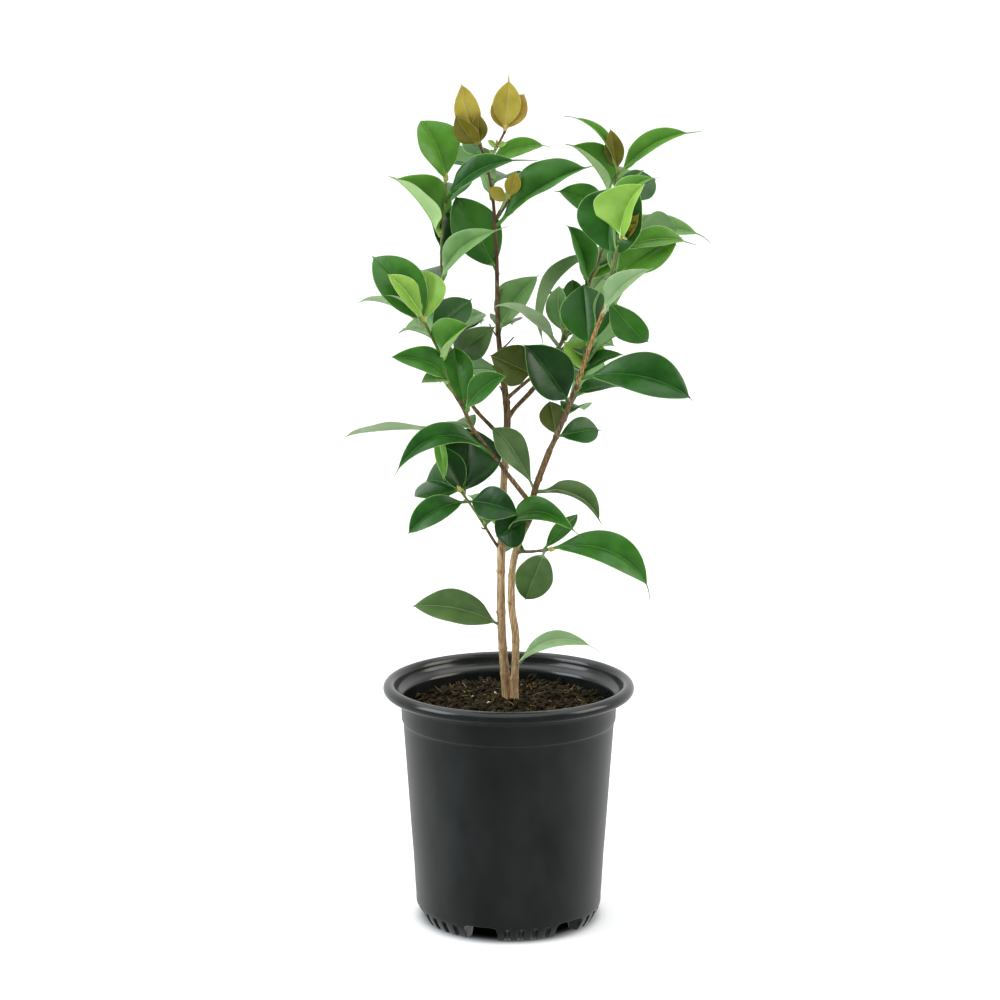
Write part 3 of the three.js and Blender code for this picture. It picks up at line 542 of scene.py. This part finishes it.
LONE_LEAVES = {  # the stem, the seed and the row
    "leaf_arching": ("stem_left", 31, (.51, 51, -34, 4, .3, 40, .14, "mid")),
    "leaf_low_left": ("stem_left", 37, (.23, -59.5, -10, 15, .38, 56, .1, "sage")),
    "leaf_between_stems": ("stem_left", 41, (.45, 9, 30, 6, .44, 40, .05, "silver")),
    "leaf_low_right": ("stem_right", 43, (.13, 57, -12, 13, .2, -28, .15, "silver")),
    "leaf_at_fork": ("stem_right", 47, (.83, 43, -8, -21, .3, 40, .1, "sage")),
    "leaf_upright": ("stem_right", 53, (.83, -26, -10, 44, .38, -60, .05, "sage")),
    "leaf_front": ("stem_right", 59, (.72, -22, 3, -13, .95, 60, .1, "deep")),
}
# More leaves fill the rear, which the solid part leaves thinner: place, right, back, up and width.
REAR_LEAVES = {
    "foliage_top": [(.02, -42, 35, -13, .5), (.18, 21, 20, 33, .52), (.5, -38, 37, 26, .5),
                    (.66, 37, 40, 21, .52), (.74, -20, 30, 33, .52), (.86, -34, 31, 4, .48)],
    "foliage_high_left": [(.07, -35, 47, 16, .46), (.21, -32, 40, 27, .5), (.64, -4, 44, 27, .5)],
    "foliage_low_left": [(.08, -40, 44, -19, .52), (.39, -26, 41, 31, .52), (.71, -27, 41, 33, .5),
                         (.97, -33, 41, 20, .5)],
    "foliage_right": [(.15, 33, 43, 27, .46), (.35, -36, 47, 5, .52), (.44, 42, 42, 16, .5),
                      (.56, 27, 36, 32, .52), (.77, 44, 20, 29, .5), (.97, 41, 45, 3, .5)],
    "foliage_rear": [(.02, 41, 40, -1, .52), (.1, 37, 33, 34, .48), (.33, 43, 27, 32, .52),
                     (.63, 45, 36, -1, .5)],
    "foliage_inner": [(.36, 42, 39, -21, .5), (.93, 41, 43, 10, .52)],
    "foliage_lower_right": [(.3, -38, 33, 31, .48)],
}
REAR_RIGHT, REAR_BACK, REAR_UP = (8, 26), (38, 50), (-4, 14)   # a seeded rear leaf's reach
REAR_WIDTH, REAR_LEAN, REAR_ARCH = .48, 12, .1
FOLD, ROLLED = (10, 20), 6                    # degrees that a leaf's halves rise, and its twist


def seeded(seed):
    """Repeatable numbers from 0 to 1: a 32-bit counter stirred by shifts and products, as the
    solid part's rule draws them."""
    state, whole = seed, 0xFFFFFFFF
    while True:
        state = (state + 0x6D2B79F5) & whole
        t = ((state ^ (state >> 15)) * (1 | state)) & whole
        t = ((t + (((t ^ (t >> 7)) * (61 | t)) & whole)) & whole) ^ t
        yield ((t ^ (t >> 14)) & whole) / 2 ** 32


def between(draw, span):
    """A drawn number between two ends."""
    return span[0] + (span[1] - span[0]) * next(draw)


def fold_and_twist(draw):
    """The two numbers that the rule draws for each leaf, in degrees."""
    return between(draw, FOLD), (next(draw) * 2 - 1) * ROLLED


leaves, twigs, buds = [], [], []              # what the rule grows, for the meshes below


def grow(node, way, spec, draw, fine):
    """The rule: the twig, its own rows, seeded rows to the rear in turn right and left, a fold
    and a twist drawn for each leaf, then its side twigs. What is finer, a bud in the axil of
    some leaves, has its own draws."""
    rows = list(spec["rows"])
    first_rear = len(rows)
    for i in range(spec.get("rear", 0)):
        at = (i + 0.35 + 0.3 * next(draw)) / spec["rear"]
        right = between(draw, REAR_RIGHT) * (-1 if i % 2 else 1)
        back, up = between(draw, REAR_BACK), between(draw, REAR_UP)
        rows.append((at, right, back, up, REAR_WIDTH, REAR_LEAN, REAR_ARCH, ("mid", "dark")[i % 2]))
    knots = []
    for i, row in enumerate(rows):
        fold, rolled = fold_and_twist(draw)
        if i - first_rear in spec.get("skip", ()):
            continue
        foot, ahead = along_way(way, row[0])
        leaves.append((node, foot, row, fold, rolled, sum(leaf[0] == node for leaf in leaves)))
        knots.append(row[0] * way[0][-1])
        if fine.uniform() < 0.5 and row[0] < 0.97 and row[7] not in ("amber", "bronze"):
            out = np.array(row[1:4], float)
            out = out / np.linalg.norm(out) * 0.6 + ahead
            buds.append((node, foot + out * 0.9, out, fine.uniform(2.6, 5.0), fine.uniform(0.8, 1.2)))
    twigs.append((node, way, spec["ends"], knots, spec.get("young", 0.0), spec.get("skin", "red")))
    for fork in spec.get("forks", ()):
        start = along_way(way, fork["at"])[0]
        end = start + np.array(fork["reach"], float)
        bow = (start + end) / 2 + [0, 0, -1.5]
        grow(node, smooth_way([start, bow, end]), fork, draw, fine)


for name, spec in SHOOTS.items():
    points = list(spec["way"])
    if "on" in spec:
        end, ahead = along_way(ways[spec["on"]], 1.0)
        points.insert(0, (end + ahead * END_GAP).tolist())
    way = smooth_way(points)
    grow(name, way, spec, seeded(spec["seed"]), np.random.default_rng(100 + spec["seed"]))
    tip, ahead = along_way(way, 1.0)
    if name not in ("foliage_top", "foliage_rear"):
        buds.append((name, tip + ahead * 0.5, ahead, 6.5, 1.5))
# Short stubs where a side twig died or was cut: the limb or mass, the place, and the reach.
STUBS = [("foliage_top", .1, (9, -2, 9)), ("foliage_top", .15, (-6, -3, 10)), ("stem_left", .93, (-4, -3, 8)),
         ("foliage_top", .34, (3, -3, 4)), ("foliage_right", .3, (4, -3, 3)),
         ("foliage_lower_left", .35, (-3, -3, 1)), ("foliage_low_left", .5, (4, -2, 4)),
         ("foliage_high_left", .3, (-3, -3, 5))]
main_twigs = {name: next(twig[1] for twig in twigs if twig[0] == name) for name in SHOOTS}
for name, at, reach in STUBS:
    start = along_way({**ways, **main_twigs}[name], at)[0]
    tip = start + np.array(reach, float)
    way = smooth_way([start, (start + tip) / 2 + [0, 0, -0.6], tip])
    twigs.append((name, way, (.6, .42), [], 1.0, "green"))
for name, (limb, seed, row) in LONE_LEAVES.items():
    foot = along_way(ways[limb], row[0])[0]
    leaves.append((name, foot, row, *fold_and_twist(seeded(seed)), 0))
draw = seeded(61)
for name, rows in REAR_LEAVES.items():
    for i, (at, *reach, width) in enumerate(rows):
        # Every third of these takes the deep kind, whose darker green is painted shade.
        row = (at, *reach, width, -50, .1, ("dark", "mid", "deep")[i % 3])
        leaves.append((name, along_way(main_twigs[name], at)[0], row, *fold_and_twist(draw), None))

TWIG_SKINS = [  # name, colours, width of its patches, roughness and its spread, relief and its depth
    # Last year's twig: thin brown bark with pale streaks, and the same in ochre on the vigorous shoot.
    ("brown_twig_bark", "#35281a #54402a #735b3c #9a8158", 0.9, 0.6, 0.1, 0.6, 0.15),
    # This year's twig has a smooth, faintly waxy skin, green or, in full light, wine red.
    ("green_twig_skin", "#4b5628 #69713a #8b8a4c", 1.2, 0.45, 0.06, 0.4, 0.08),
    ("red_twig_skin", "#40281b #5a3a28 #775239", 1.2, 0.45, 0.06, 0.4, 0.08),
    ("ochre_twig_bark", "#553b1a #7d5a2c #a37f48 #cdb07a", 0.9, 0.6, 0.1, 0.6, 0.15),
]
twig_skins = [finish_of(name, colours, grain, rough, spread, ior=1.45, stretch=(1, 1, 0.16),
                        bump=bump, depth=depth, bump_grain=0.4)
              for name, colours, grain, rough, spread, bump, depth in TWIG_SKINS]
TWIG_SIDES = 14                               # corners of its round
OCHRE_FROM = 0.33                             # the right shoot's bark turns ochre a third of the way up
skins, slots = [], []
nodes = [twig[0] for twig in twigs]
for number, (node, way, ends, knots, young, skin) in enumerate(twigs):
    share = np.linspace(0, 1, int(way[0][-1] / 0.8) + 3)
    radius = bark_radius(share, way[0][-1], ends, TWIG_SIDES, knots, 300 + number)
    skins.append(closed_skin(round_skin(way, share, radius, TWIG_SIDES)))
    rows = np.concatenate([np.repeat(share[:-1], TWIG_SIDES * 2), np.zeros(TWIG_SIDES), np.ones(TWIG_SIDES)])
    brown = OCHRE_FROM if node == "foliage_right" else young
    slots.append(np.select([rows < brown, rows < young], [0, 3], 1 if skin == "green" else 2))
twig_piece = make_piece("twigs", *joined(skins), twig_skins, np.concatenate(slots))
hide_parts(*sorted(set(nodes) & set(SHOOTS)))


# The leaves. Each is one thick, leathery blade on a short stalk: arched along its rib, folded
# up a little on both sides, pinched at the edge into a thin rim and drawn out to a tip.
PETIOLE, STALK = 0.8, 0.085                   # radius of the stalk, its share of the leaf
RIB_HALF, RIM_WIDE, THICK = 0.26, 0.42, 0.45  # millimetres
RIB_OUT, RIB_PRESSED = 1.25, 0.28             # the rib stands out below and is pressed in above
TIP_HALF, TIP_WIDE = 0.12, 0.2                # half width of the tip in mm, and of its root over the blade's
LANES = 6                                     # strips from the rib to the rim, rib and rim among them
STATIONS = np.concatenate([np.linspace(0, STALK, 5)[:-1],
                           STALK + (1 - STALK) * np.linspace(0, 1, 33) ** 0.97])
PLAIN_TAIL, PLAIN_BELLY = 0.045, 0.95         # share of tip, and widest place, of a leaf not in TURNED
TURNED_LEAN = 79                              # degrees from straight up to the face of a leaf in TURNED
FOLD_MORE = 1.2                               # a real leaf is folded more than the solid one
# How the leaves that show best are turned: degrees that the face turns about the rib from the
# front towards the right-hand half, the fold, the rib's bend to that side as a share of its
# length, the share of the leaf that is a drawn-out tip, and where it is widest (1 = halfway).
TURNED = {
    "foliage_top": {
        0: (-28, 26, -.03, .06, .9), 1: (6, 14, .02, .05, .9), 2: (-46, 34, 0, .1, 1.1),
        3: (-20, 30, -.05, .14, .9), 4: (0, 16, 0, .05, .9), 5: (4, 14, -.05, .04, .95),
        6: (-24, 18, -.05, .04, .8), 16: (0, 14, 0, .14, .95)},
    "foliage_high_left": {
        0: (10, 24, 0, .05, 1), 2: (-30, 32, -.03, .16, .9), 3: (56, 56, .02, .12, .8),
        4: (-30, 30, -.06, .24, .9), 5: (26, 26, .04, .01, 1.15)},
    "foliage_low_left": {
        0: (24, 28, .16, .05, 1), 2: (-12, 16, 0, .02, 1.4), 3: (-26, 28, -.03, .01, 1.3),
        4: (20, 30, .06, .02, 1), 6: (-48, 50, -.02, .06, .95), 7: (-14, 18, 0, .08, .9),
        10: (10, 22, .04, .05, 1), 11: (30, 30, .05, .02, 1.1), 12: (-14, 22, 0, .02, 1.15)},
    "foliage_right": {
        0: (-16, 20, 0, .08, 1), 1: (0, 16, 0, .04, .9), 2: (12, 22, .02, .04, .95),
        3: (-26, 22, -.02, .05, 1.15), 5: (0, 16, 0, .04, .9), 7: (0, 12, 0, .02, .95),
        8: (30, 14, 0, .05, 1), 9: (-40, 34, -.06, .06, .6), 10: (-14, 20, -.03, .08, .95),
        11: (-14, 14, -.19, .04, .8), 12: (-30, 30, -.06, .2, .9), 13: (-38, 40, -.08, .02, .66),
        16: (-40, 30, -.2, .05, 1.6)},
    "foliage_rear": {
        2: (34, 36, .03, .05, .9), 4: (-26, 30, -.05, .2, .9), 5: (16, 24, .03, .1, .95),
        7: (50, 53, .04, .12, .9), 8: (-36, 34, -.07, .18, .9), 9: (44, 34, .06, .16, .9),
        10: (0, 20, 0, .05, .9)},
    "foliage_inner": {
        0: (4, 18, 0, .04, .95), 2: (-24, 24, -.04, .08, .9)},
    "foliage_lower_left": {
        0: (-10, 20, -.03, .05, 1), 1: (16, 26, .06, .05, 1), 2: (0, 18, 0, .04, .9),
        3: (26, 26, .03, .04, .9), 4: (10, 22, 0, .04, .9)},
    "foliage_lower_right": {
        0: (-24, 24, -.13, .12, 1.05), 1: (0, 16, 0, .04, .75)},
    "leaf_arching": {0: (-30, 32, -.2, .1, .72)}, "leaf_low_left": {0: (22, 22, .05, .05, 1)},
    "leaf_low_right": {0: (-24, 26, -.17, .14, .95)}, "leaf_front": {0: (0, 18, 0, .04, 1)},
    "leaf_upright": {0: (14, 20, .03, .01, 1.6)}, "leaf_at_fork": {0: (-50, 50, -.1, .08, .95)},
}


def leaf_skin(foot, row, fold, rolled, look, turned):
    """The rib is a quadratic curve from foot to tip, lifted by the arch and bent to one side.
    Across it, at each station, a closed section: half width = width x sin(pi x place) to a
    power, drawn out to a narrow tip; the halves rise by the fold and round over, the rim
    waves, and the underside lies one blade's thickness below with the rib standing out of it."""
    _, right, back, up, width, lean, arch, _ = row
    reach = np.array([right, back, up], float)
    length = np.linalg.norm(reach)
    ahead = reach / length
    turn, fold, bend, tail, belly = turned or (rolled, fold, 0, PLAIN_TAIL, PLAIN_BELLY)
    turn, lean = math.radians(turn), math.radians(TURNED_LEAN if turned else lean)
    face = np.array([0, -math.sin(lean), math.cos(lean)])
    face = face - face.dot(ahead) * ahead
    face /= np.linalg.norm(face)
    side = np.cross(ahead, face)
    crest = foot + 0.55 * reach + side * 2 * bend * length
    face = face * math.cos(turn) + side * math.sin(turn)
    side = np.cross(ahead, face)
    crest = crest + face * 2 * arch * length
    s = STATIONS[:, None]
    middle = (1 - s) ** 2 * foot + 2 * s * (1 - s) * crest + s ** 2 * (foot + reach)
    way = 2 * (1 - s) * (crest - foot) + 2 * s * (foot + reach - crest)
    way /= np.linalg.norm(way, axis=1, keepdims=True)
    upward = np.cross(side, way)
    upward /= np.linalg.norm(upward, axis=1, keepdims=True)

    # How wide it is at each station, and the tip's small seeded hook.
    blade = np.clip((STATIONS - STALK) / (1 - STALK), 0, 1)
    body = np.sin(np.pi * np.clip(blade / (1 - tail), 0, 1) ** belly) ** 0.8
    thin = TIP_WIDE * np.clip(1 - blade, 0, 1) ** 0.62 * (blade > 0.5)
    half = 0.5 * width * length * np.maximum(body, thin)
    half = np.maximum(half, np.where(blade < 0.5, PETIOLE * (1 - 0.25 * blade), TIP_HALF))
    hook = (np.clip((blade - 0.8) / 0.2, 0, 1) ** 2 * length * 0.035)[:, None]
    middle = middle - upward * (hook * look.uniform(-0.4, 1.4))
    middle = middle + side * (hook * look.uniform(-1, 1))

    # Places across it from -1 to 1: the rib, even strips, and the rim.
    step = np.concatenate([[0], np.linspace(0, 1, LANES - 1)])
    near, rim = np.minimum(RIB_HALF / half, 0.35), np.minimum(RIM_WIDE / half, 0.2)
    inner = near[:, None] + (1 - rim - near)[:, None] * step[1:]
    right_half = np.concatenate([np.zeros((len(half), 1)), inner, np.ones((len(half), 1))], 1)
    a = np.concatenate([-right_half[:, :0:-1], right_half], 1)
    size = np.abs(a)

    # Heights of the upper face over the rib's curve, and of the lower face under it.
    blade, wide = blade[:, None], half[:, None]
    opened = np.clip(blade * 6, 0, 1)
    rise = math.tan(math.radians(fold)) * (wide - PETIOLE * (1 - blade))
    wave = look.uniform(0.02, 0.05) * wide * size ** 2 * opened
    beat, shift = look.uniform(1.3, 2.4), look.uniform(0, 6.3, 2)
    waves = wave * np.sin(6.3 * beat * blade + np.where(a > 0, *shift))
    rounding = look.uniform(0.25, 0.6)
    top = rise * (size * (1 + rounding) - rounding * size ** 2 * 1.2) * opened + waves * 1.6
    top = top - np.where(size < near[:, None] * 0.5, RIB_PRESSED, 0) * opened
    stalk = PETIOLE * (1 - opened) * np.sqrt(np.clip(1 - size ** 2, 0, 1))
    thick = THICK * (1 - 0.45 * size) * np.clip(1.2 - blade, 0.1, 1)
    ridge = np.exp(-(a * wide / 0.6) ** 2) * RIB_OUT * np.clip(1 - blade, 0, 1) ** 0.8 * PETIOLE
    upper, lower = (middle[:, None] + side * (a * wide)[..., None] + upward[:, None] * height[..., None]
                    for height in (top + stalk * 0.8, top - thick - ridge - stalk))

    # One ring a station: across the lower face, round the rim, and back over the upper one.
    rims = (upper[:, [0, -1]] + lower[:, [0, -1]]) / 2
    ring = np.concatenate([rims[:, 1:], lower[:, -2:0:-1], rims[:, :1], upper[:, 1:-1]], 1)
    flat = np.concatenate([a[:, :0:-1], a[:, :-1]], 1)
    across = np.stack([flat * wide / half.max(), np.repeat(blade, flat.shape[1], 1)], -1)
    points, corners = closed_skin(ring)
    count, lanes = ring.shape[1], a.shape[1] - 1
    strip = np.arange(count)
    finish = np.where(strip < lanes, 1, 0)        # back and face, then rim and rib
    finish[[0, lanes - 1, lanes, -1]] = 3
    finish[[lanes // 2 - 1, lanes // 2, lanes + lanes // 2 - 1, lanes + lanes // 2]] = 2
    slots = np.repeat(np.tile(finish, (len(STATIONS) - 1, 1)), 2, axis=1)
    slots[blade[:-1, 0] <= 0.001] = 2
    return points, corners, np.append(slots, [2] * 2 * count), np.append(across, [0, 0, 0, 1]).reshape(-1, 2)


VEINS, VEIN_SLANT = 8, 1.5                    # pairs of side veins, and how far forward they run
PEBBLE = 0.9                                  # millimetres from bump to bump of the blade's fine grain


def blade_finish(name, colours, roughness, veins=0.32):
    """A leaf's face: soft patches of two or three greens, a fine pebbling, and side veins that
    run forward from the rib to the rim, pressed in by a fraction of a millimetre."""
    material = finish_of(name, colours, 16, roughness, 0.05, ior=1.47, gloss=0.4, detail=2, places=(0.2, 0.8))
    tree = material.node_tree
    shader = next(n for n in tree.nodes if n.type == "BSDF_PRINCIPLED")
    flat = add(tree, "ShaderNodeUVMap", settings={"uv_map": "Blade"})
    parts = add(tree, "ShaderNodeSeparateXYZ", links={"Vector": (flat, "UV")})
    across = add(tree, "ShaderNodeMath", settings={"operation": "ABSOLUTE"}, links={0: (parts, "X")})
    rows = add(tree, "ShaderNodeMath", settings={"operation": "MULTIPLY"}, values={1: VEINS},
               links={0: (parts, "Y")})
    slant = add(tree, "ShaderNodeMath", settings={"operation": "MULTIPLY_ADD"}, values={1: -VEIN_SLANT},
                links={0: (across, 0), 2: (rows, 0)})
    beat = add(tree, "ShaderNodeMath", settings={"operation": "MULTIPLY"}, values={1: 2 * math.pi},
               links={0: (slant, 0)})
    wave = add(tree, "ShaderNodeMath", settings={"operation": "COSINE"}, links={0: (beat, 0)})
    crease = add(tree, "ShaderNodeMapRange", values={"To Min": 1.0, "To Max": 0.0},
                 links={"Value": (wave, 0)})
    where = next(n for n in tree.nodes if n.type == "TEX_COORD")
    fine = add(tree, "ShaderNodeMapping", values={"Scale": [1 / (PEBBLE * MM)] * 3},
               links={"Vector": (where, "Object")})
    pebble = add(tree, "ShaderNodeTexNoise", values={"Scale": 1.0}, links={"Vector": (fine, "Vector")})
    grainy = add(tree, "ShaderNodeBump", values={"Strength": 0.25, "Distance": 0.05 * MM},
                 links={"Height": (pebble, "Fac")})
    # The veins sink into the blade before they reach its rim.
    fade = add(tree, "ShaderNodeMapRange",
               values={"From Min": 0.45, "From Max": 0.8, "To Min": veins, "To Max": 0.0},
               links={"Value": (across, 0)})
    vein = add(tree, "ShaderNodeBump", values={"Distance": 0.12 * MM},
               links={"Height": (crease, "Result"), "Normal": (grainy, "Normal"),
                      "Strength": (fade, "Result")})
    tree.links.new(vein.outputs["Normal"], shader.inputs["Normal"])
    return material


# A mature leaf has a waxed upper face, dark to mid green with a soft gloss, and a matt, paler
# lower one; this spring's are yellow green, and the newest are amber and bronze. The rib and
# the thickened rim are paler and half matt, so that they draw a fine light line.
KINDS = {                       # upper face, lower face, rib and stalk, rim, roughness
    # The deep kind is the dark green made darker for leaves that lie in shade: painted shade. Pale, sage and
    # silver are partly the paler leaves' own greens and partly a painted sheen.
    "deep": ("#0a2e06 #103c09 #1b4d12", "#557f42 #6c935a", "#25541a #3a6a2a", "#4b7f33 #79a357", 0.34),
    "dark": ("#113f0a #1b500f #2a6419", "#5f8a4c #7ba065", "#336a22 #497c2f", "#5f9340 #92b86a", 0.34),
    "mid": ("#225511 #2f6817 #407c21", "#6f9856 #8bae6e", "#487f2c #5f923c", "#6c9e44 #9cc074", 0.36),
    "fresh": ("#3d7519 #4e8722 #61992f", "#88ac66 #a0c07e", "#6b9d3c #8ab456", "#7da84e #a0c672", 0.4),
    "light": ("#6b9a30 #80ae3e #98c155", "#93b46c #aac687", "#b2cf78 #c9dd97", "#9dc05e #bdd783", 0.42),
    "pale": ("#52803c #658f4c #79a05e", "#7a9f66 #94b37e", "#7da261 #94b676", "#83a868 #a2bf87", 0.42),
    "sage": ("#3d5a2a #4c6a35 #5f7b45", "#536c3e #66804e", "#67854f #809c66", "#6f8b55 #8ca472", 0.45),
    "silver": ("#76985f #7f9f6b #95b181", "#86a072 #9db389", "#98b281 #adc498", "#96b07c #b1c69a", 0.5),
    "olive": ("#384610 #475517 #5a6724", "#75863f #8b9a55", "#6a7733 #808c4a", "#60712d #7e8c46", 0.4),
    "amber": ("#8f8423 #a3962f #b8aa45", "#a19332 #b6a84c", "#b3a048 #c7b868", "#a99332 #c2b158", 0.4),
    "bronze": ("#57540c #6c6814 #827c24", "#6f6819 #857c2d", "#8f7a30 #a68f48", "#8a6c22 #a58743", 0.38),
    "ochre": ("#85701f #9a8430 #ae9843", "#97812d #ab9442", "#ad8c45 #c0a25e", "#a97f36 #c19c58", 0.4),
}
for number, (kind, (face, under, rib, rim, rough)) in enumerate(KINDS.items()):
    finishes = [blade_finish("waxed_leaf_" + kind, face, rough),
                blade_finish("matt_leaf_back_" + kind, under, 0.62, veins=0.35),
                finish_of("leaf_rib_" + kind, rib, 5, 0.45, 0.05, ior=1.45, bump=0.3, depth=0.05),
                finish_of("leaf_rim_" + kind, rim, 4, 0.4, 0.05, ior=1.45, bump=0.3, depth=0.05)]
    grown = [leaf for leaf in leaves if leaf[2][7] == kind]
    made = [leaf_skin(foot, row, FOLD_MORE * fold, rolled, np.random.default_rng(1000 * number + i),
                      TURNED.get(node, {}).get(place))
            for i, (node, foot, row, fold, rolled, place) in enumerate(grown)]
    points, corners = joined([skin[:2] for skin in made])
    slots, across = (np.concatenate([skin[k] for skin in made]) for k in (2, 3))
    piece = make_piece("leaves_" + kind, points, corners, finishes, slots, across)
    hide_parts(*sorted({leaf[0] for leaf in grown}))


# The buds. Small pointed eggs wrapped in overlapping scales: one in the axil of some leaves,
# and a larger one at the end of a shoot.
def bud_skin(foot, way, length, radius):
    """Rings about the bud's own line: radius x sin to a power, fuller below, with three steps
    where the scales overlap, closing to a sharp point."""
    way = np.asarray(way) / np.linalg.norm(way)
    side = np.cross(way, [0.3, 1, 0.1])
    side /= np.linalg.norm(side)
    over = np.cross(way, side)
    place = np.linspace(0.02, 0.99, 12)[:, None]
    turn = 2 * np.pi * np.arange(9) / 9
    full = radius * np.sin(np.pi * place ** 0.62) ** 0.85 * (1 + 0.07 * np.sin(18 * place + turn))
    ring = foot + way * (place * length)[..., None]
    ring = ring + full[..., None] * (np.cos(turn)[:, None] * side + np.sin(turn)[:, None] * over)
    return closed_skin(ring, foot, foot + way * length)


# Bud scales: smooth and faintly waxy, yellow green in soft patches that run to tan.
bud_scales = finish_of("waxy_bud_scales", "#8f8a3c #a8a04b #c0b765", 3, 0.45, 0.06, ior=1.45,
                       bump=0.4, bump_grain=0.6)
piece = make_piece("buds", *joined([bud_skin(*bud[1:]) for bud in buds]), [bud_scales])
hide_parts(*sorted({bud[0] for bud in buds}))


# The studio. A plain white floor in white air, lit by two soft square lamps at the sides and an
# even ceiling of light. The camera looks down a little on the pot's rim, as the photo does.
FLOOR_HALF = 9                               # metres
floor_mesh = bpy.data.meshes.new("studio_floor")
floor_mesh.from_pydata([(x * FLOOR_HALF, y * FLOOR_HALF, 0) for x, y in ((-1, -1), (1, -1), (1, 1), (-1, 1))],
                       [], [(0, 1, 2, 3)])
studio_floor = bpy.data.objects.new("studio_floor", floor_mesh)
bpy.context.scene.collection.objects.link(studio_floor)
# White backdrop paper: quite matt, and glowing a little so that it stays evenly white.
# Under the pot's base its colour and its glow are painted dark: a painted shadow.
SHADE_FROM, SHADE_TO = 0.050, 0.064          # metres from the pot's axis
white_paper = bpy.data.materials.new("white_backdrop_paper")
white_paper.use_nodes = True
tree = white_paper.node_tree
paper = next(n for n in tree.nodes if n.type == "BSDF_PRINCIPLED")
spot = add(tree, "ShaderNodeTexCoord")
reach = add(tree, "ShaderNodeVectorMath", settings={"operation": "LENGTH"}, links={0: (spot, "Object")})
# The painted shadow: colour and glow run from near black at SHADE_FROM to white at SHADE_TO.
painted_shadow = add(tree, "ShaderNodeValToRGB", links={"Fac": (reach, "Value")})
for stop, place, colour in zip(painted_shadow.color_ramp.elements, (SHADE_FROM, SHADE_TO), ("#0c0c0d", "#f1f3f5")):
    stop.position, stop.color = place, linear(colour)
tree.links.new(painted_shadow.outputs["Color"], paper.inputs["Base Color"])
tree.links.new(painted_shadow.outputs["Color"], paper.inputs["Emission Color"])
for name, value in (("Roughness", 1.0), ("Specular IOR Level", 0.0), ("Emission Strength", 0.16)):
    paper.inputs[name].default_value = value
floor_mesh.materials.append(white_paper)
studio_floor.visible_glossy = False          # the satin pot mirrors the room, not a glaring floor

world = bpy.data.worlds.new("white_air")
world.use_nodes = True
room = world.node_tree
air = next(n for n in room.nodes if n.type == "BACKGROUND")
air.inputs["Color"].default_value = linear("#ffffff")
way_out = add(room, "ShaderNodeTexCoord")                # a bright cove behind, a dimmer room in front
split = add(room, "ShaderNodeSeparateXYZ", links={"Vector": (way_out, "Generated")})
cove = add(room, "ShaderNodeMapRange",
           values={"From Min": -0.5, "From Max": 0.7, "To Min": 0.2, "To Max": 1.0},
           links={"Value": (split, "Y")})
seen = add(room, "ShaderNodeLightPath")                  # white to look at, softer as a light
bright = add(room, "ShaderNodeMapRange", values={"To Max": 1.05},
             links={"Value": (seen, "Is Camera Ray"), "To Min": (cove, "Result")})
room.links.new(bright.outputs["Result"], air.inputs["Strength"])
bpy.context.scene.world = world

LAMP_WIDE, AIM = 1.2, (0, 0, 0.25)           # both lamps point at the middle of the plant
for name, place, watts, colour in (("lamp_left", (-1.7, -0.5, 1.0), 24, "#f4f8ff"),
                                   ("lamp_right", (1.8, -0.3, 0.9), 18, "#fff8ee")):
    light = bpy.data.lights.new(name, "AREA")
    light.shape, light.size, light.energy = "SQUARE", LAMP_WIDE, watts
    light.color = linear(colour)[:3]
    lamp = bpy.data.objects.new(name, light)
    away = np.array(place) - np.array(AIM)
    lamp.location = place
    lamp.rotation_euler = (math.atan2(math.hypot(away[0], away[1]), away[2]), 0,
                           math.atan2(away[0], -away[1]))
    bpy.context.scene.collection.objects.link(lamp)

ceiling = bpy.data.lights.new("ceiling_light", "SUN")
ceiling.energy, ceiling.angle = 2.3, math.radians(100)
overhead = bpy.data.objects.new("ceiling_light", ceiling)
overhead.rotation_euler = (math.radians(8), math.radians(-6), 0)
bpy.context.scene.collection.objects.link(overhead)

lens = bpy.data.cameras.new("camera")
lens.lens, lens.sensor_width = 104.7, 36
camera = bpy.data.objects.new("camera", lens)
camera.location = (-0.0057, -1.850, 0.647)
camera.rotation_euler = (math.radians(78.8), 0, 0)
bpy.context.scene.collection.objects.link(camera)
bpy.context.scene.camera = camera
bpy.context.scene.view_settings.view_transform = "Standard"
